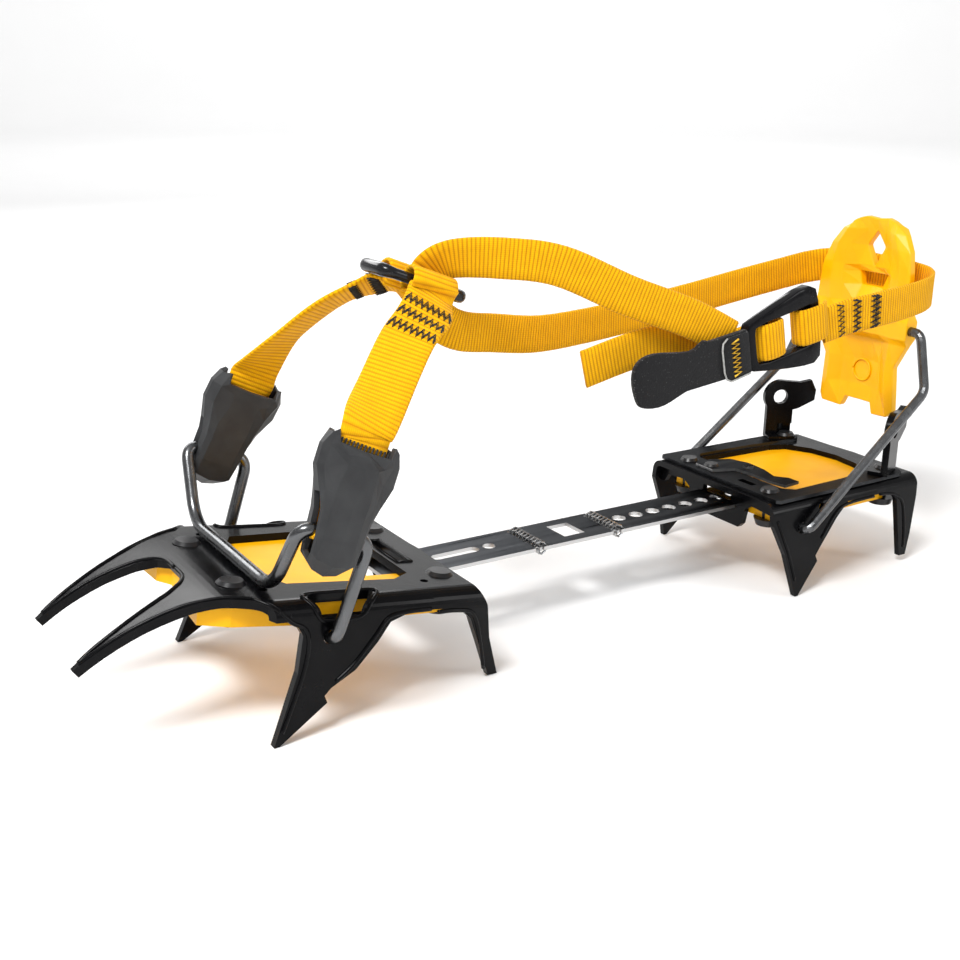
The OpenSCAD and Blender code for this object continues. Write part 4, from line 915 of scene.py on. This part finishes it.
# The buckle, its loops of (x, z) seen from the front
BUCKLE_MID, BUCKLE_TURN = np.array([226.5, -38.6, 114]), turn("Y", -12)
BUCKLE_HALF_T, BUCKLE_CROWN, CROWN_HALF_L = 2.3, 0.7, 20
BUCKLE_OUTER = [(-19.5, -6), (-19.5, 0), (-19.5, 6), (-17.5, 9.6), (-10, 11.6), (0, 13.8),
                (9, 15.6), (15, 15.9), (18.6, 13.8), (19.5, 9), (19.5, 0), (19.5, -9),
                (18.6, -14.6), (15, -16.6), (9, -15.9), (0, -14.0), (-10, -11.6), (-17.5, -9.6)]
BUCKLE_INNER = [(-15, -4.5), (-15, 0), (-15, 4.5), (-14.4, 7.4), (-9, 8.2), (0, 8.2), (8, 8.2),
                (11, 8.2), (14.2, 8.2), (15, 7.6), (15, 0), (15, -7.6), (14.2, -8.2),
                (11, -8.2), (8, -8.2), (0, -8.2), (-9, -8.2), (-14.4, -7.4)]
# The webbing's way over the front of each bar and back behind it, as (x, y)
FRONT_LOOP = [(-24, 3.0), (-18, 3.6), (-13, 1.4), (-10.6, -1.9), (-7, -3.2), (-3, -3.1),
              (-0.5, -2.0), (-0.9, 1.6), (-5, 3.3), (-10, 4.2), (-22, 4.9)]
REAR_LOOP = [(24, -1.3), (20, -3.9), (14, -4.0), (9.6, -3.0), (8.4, 0), (9.8, 3.2), (15, 4.0),
             (24, 2.4)]


def in_buckle(points):
    """Points given from the middle of the buckle."""
    return placed(points, BUCKLE_TURN, BUCKLE_MID)


def buckle_body():
    """A flat frame between two loops, crowned outward, with rounded edges."""
    n = len(BUCKLE_OUTER)
    verts = []
    for y_face, crown in ((-BUCKLE_HALF_T, BUCKLE_CROWN), (BUCKLE_HALF_T, BUCKLE_CROWN / 2)):
        for loop in (BUCKLE_OUTER, BUCKLE_INNER):
            verts += [(x, y_face - crown * (1 - (x / CROWN_HALF_L) ** 2), z) for x, z in loop]
    faces = []
    for k in range(n):
        j = (k + 1) % n
        faces += [(k, j, n + j, n + k), (2 * n + k, 3 * n + k, 3 * n + j, 2 * n + j),
                  (k, 2 * n + k, 2 * n + j, j), (n + k, n + j, 3 * n + j, 3 * n + k)]
    body = outward(piece("buckle_body", metres(in_buckle(verts)), faces, buckle_plastic))
    dress(finish_mesh(body, bevel(0.9, 35, 3)), "heel_cup", "buckle_frame")


def buckle_webbing(name, loop):
    """The webbing inside the buckle."""
    path = smooth_path(in_buckle([(x, y, 0) for x, y in loop]), CURVE_STEPS)
    side = np.tile(BUCKLE_TURN @ [0, 0, 1], (len(path), 1))
    path, side, s = resample(path, side, LONG_STEP)
    web = ribbon(name, path, side, s, LONG_W, INNER_T, LONG_PITCH, long_webbing)
    dress(web, "heel_cup")


buckle_body()
buckle_webbing("buckle_front_webbing", FRONT_LOOP)
buckle_webbing("buckle_rear_webbing", REAR_LOOP)

# The pull tab: its outline as shares of its length and heights, then the folded end on it
TAB_X, TAB_LEN, TAB_OUT, TAB_T, TAB_STEPS = -19.9, 56, 2.4, 2.5, 4
TAB_ROOT = [(0, -8.5), (0, 9)]
TAB_OUTLINE = [(0.33, 10), (0.5, 9), (0.8, 13.5), (0.94, 12.5), (1, 7), (0.99, -2),
               (0.94, -5.5), (0.78, -7.5), (0.5, -5.5), (0.16, -9.5)]
FLAP = [(-20.2, -8.2), (-20.2, 8.6), (-31, 9), (-33.4, 7.6), (-34, 5), (-34, -4), (-33.2, -7),
        (-31, -8.6)]
FLAP_ROOT, FLAP_T, FLAP_Y = (-21, -8.3), 1.0, -TAB_OUT - TAB_T / 2
STITCH_X, STITCH_Z, STITCH_REACH, STITCH_STEP, TAB_STITCHES = -27.5, -7, 1.7, 0.95, 16


def flat_slab(name, outline, y0, y1, node=None):
    """A flat felt piece with eased edges, from an outline of (x, z)."""
    verts = [(x, y, z) for y in (y0, y1) for x, z in outline]
    n = len(outline)
    faces = [tuple(range(n)), tuple(range(2 * n - 1, n - 1, -1))]
    faces += [(k, n + k, n + (k + 1) % n, (k + 1) % n) for k in range(n)]
    slab = outward(piece(name, metres(in_buckle(verts)), faces, felt))
    dress(finish_mesh(slab, bevel(0.5, 30)), "pull_tab", node)


def tab_line(points):
    """Places on the tab, from shares of its length and heights."""
    return [(TAB_X - u * TAB_LEN, z) for u, z in points]


def rounded(points, steps):
    """A curve through the points that stops just short of the last but one."""
    p = np.array(points + points[:1], float)
    flat = np.c_[p, np.zeros(len(p))]
    curve = smooth_path(np.vstack([flat[-2], flat, flat[1]]), steps)[steps:-steps - 1]
    return [(x, z) for x, z, _ in curve[:-2 * steps]]


def pull_tab():
    """The tab, its folded end, and the pale edge and the yellow stitches of that end."""
    outline = tab_line(TAB_ROOT) + rounded(tab_line(TAB_OUTLINE), TAB_STEPS)
    flat_slab("pull_tab_felt", outline, -TAB_OUT - TAB_T / 2, -TAB_OUT + TAB_T / 2, "pull_tab")
    flat_slab("pull_tab_flap", FLAP, FLAP_Y - FLAP_T, FLAP_Y + 0.1)
    edge = [(x, FLAP_Y - FLAP_T, z) for x, z in FLAP[2:] + [FLAP_ROOT]]
    zig = [(STITCH_X + (STITCH_REACH if k % 2 else -STITCH_REACH), FLAP_Y - FLAP_T - 0.15,
            STITCH_Z + k * STITCH_STEP) for k in range(TAB_STITCHES)]
    for name, line, r, thread in (("pull_tab_flap_edge", edge, 0.35, pale_thread),
                                  ("pull_tab_stitches", zig, 0.45, yellow_thread)):
        dress(tubes(name, [in_buckle(line)], r, thread, 6), "pull_tab")


pull_tab()

# The stage, in metres: a flat round floor that curves up into a low wall
FLOOR_R, CURVE_R, CURVE_FROM, WALL_H = 3.6, 0.9, 0.2, 1.5
FLOOR_TURNS, FLOOR_DROP = 64, 0.0002


def floor():
    """The pale floor, just under the object."""
    profile = [(FLOOR_R, 0)] + [(FLOOR_R + CURVE_R * math.sin(a), CURVE_R - CURVE_R * math.cos(a))
                                for a in np.linspace(CURVE_FROM, math.pi / 2, 8)]
    profile.append((FLOOR_R + CURVE_R, WALL_H))
    n = len(profile)
    verts, faces = [], []
    for k in range(FLOOR_TURNS):
        a = 2 * math.pi * k / FLOOR_TURNS
        verts += [(r * math.cos(a), r * math.sin(a), z - FLOOR_DROP) for r, z in profile]
        j = (k + 1) % FLOOR_TURNS
        faces += [(k * n + i, k * n + i + 1, j * n + i + 1, j * n + i) for i in range(n - 1)]
    faces.append(tuple(k * n for k in range(FLOOR_TURNS)))
    mat = material("pale_floor", (0.9, 0.9, 0.9), Roughness=0.95)
    tone = mix(mat, noise(mat, 3, 2), (0.89, 0.89, 0.89), (0.92, 0.92, 0.92))
    into(mat, tone, "Base Color")
    piece("floor", verts, faces, mat)


def studio():
    """A white room with the colours as they are."""
    world = bpy.data.worlds.new("studio")
    world.use_nodes = True
    background = world.node_tree.nodes["Background"]
    background.inputs["Color"].default_value = (1, 1, 1, 1)
    background.inputs["Strength"].default_value = 0.55
    bpy.context.scene.world = world
    bpy.context.scene.view_settings.view_transform = "Standard"


def area_light(name, place, target, size, power):
    """A soft rectangular light that points at a target."""
    data = bpy.data.lights.new(name, "AREA")
    data.shape = "RECTANGLE"
    data.size, data.size_y = size
    data.energy = power
    obj = bpy.data.objects.new(name, data)
    obj.location = place
    obj.rotation_mode = "QUATERNION"
    obj.rotation_quaternion = (Vector(target) - Vector(place)).to_track_quat("-Z", "Y")
    bpy.context.scene.collection.objects.link(obj)


# The photograph's view, solved from the crampon's own places
LENS, SENSOR = 47.88, 36
CAMERA_AT = (-0.2771, -0.3986, 0.2160)
CAMERA_RIGHT, CAMERA_UP, CAMERA_BACK = ((0.8489, -0.5284, 0.0105), (0.1566, 0.2705, 0.9499),
                                        (-0.5048, -0.8048, 0.3124))


def camera():
    """The camera at the photograph's viewing angle."""
    data = bpy.data.cameras.new("camera")
    data.lens, data.sensor_width = LENS, SENSOR
    data.clip_start = 0.01
    obj = bpy.data.objects.new("camera", data)
    axes = Matrix((CAMERA_RIGHT, CAMERA_UP, CAMERA_BACK)).transposed()
    obj.rotation_mode = "QUATERNION"
    obj.rotation_quaternion = axes.to_quaternion()
    obj.location = CAMERA_AT
    bpy.context.scene.collection.objects.link(obj)
    bpy.context.scene.camera = obj


floor()
studio()
area_light("key", (-0.75, -0.35, 1.2), (0, 0, 0.05), (0.45, 0.3), 19)
area_light("fill", (1.0, -1.1, 0.55), (0, 0, 0.07), (0.35, 0.8), 5)
area_light("back", (0.1, 1.2, 0.8), (0, 0, 0.07), (1.4, 0.25), 9)
area_light("wall", (1.0, 1.6, 2.2), (2.4, 3.8, 0.3), (2.0, 1.0), 45)
camera()
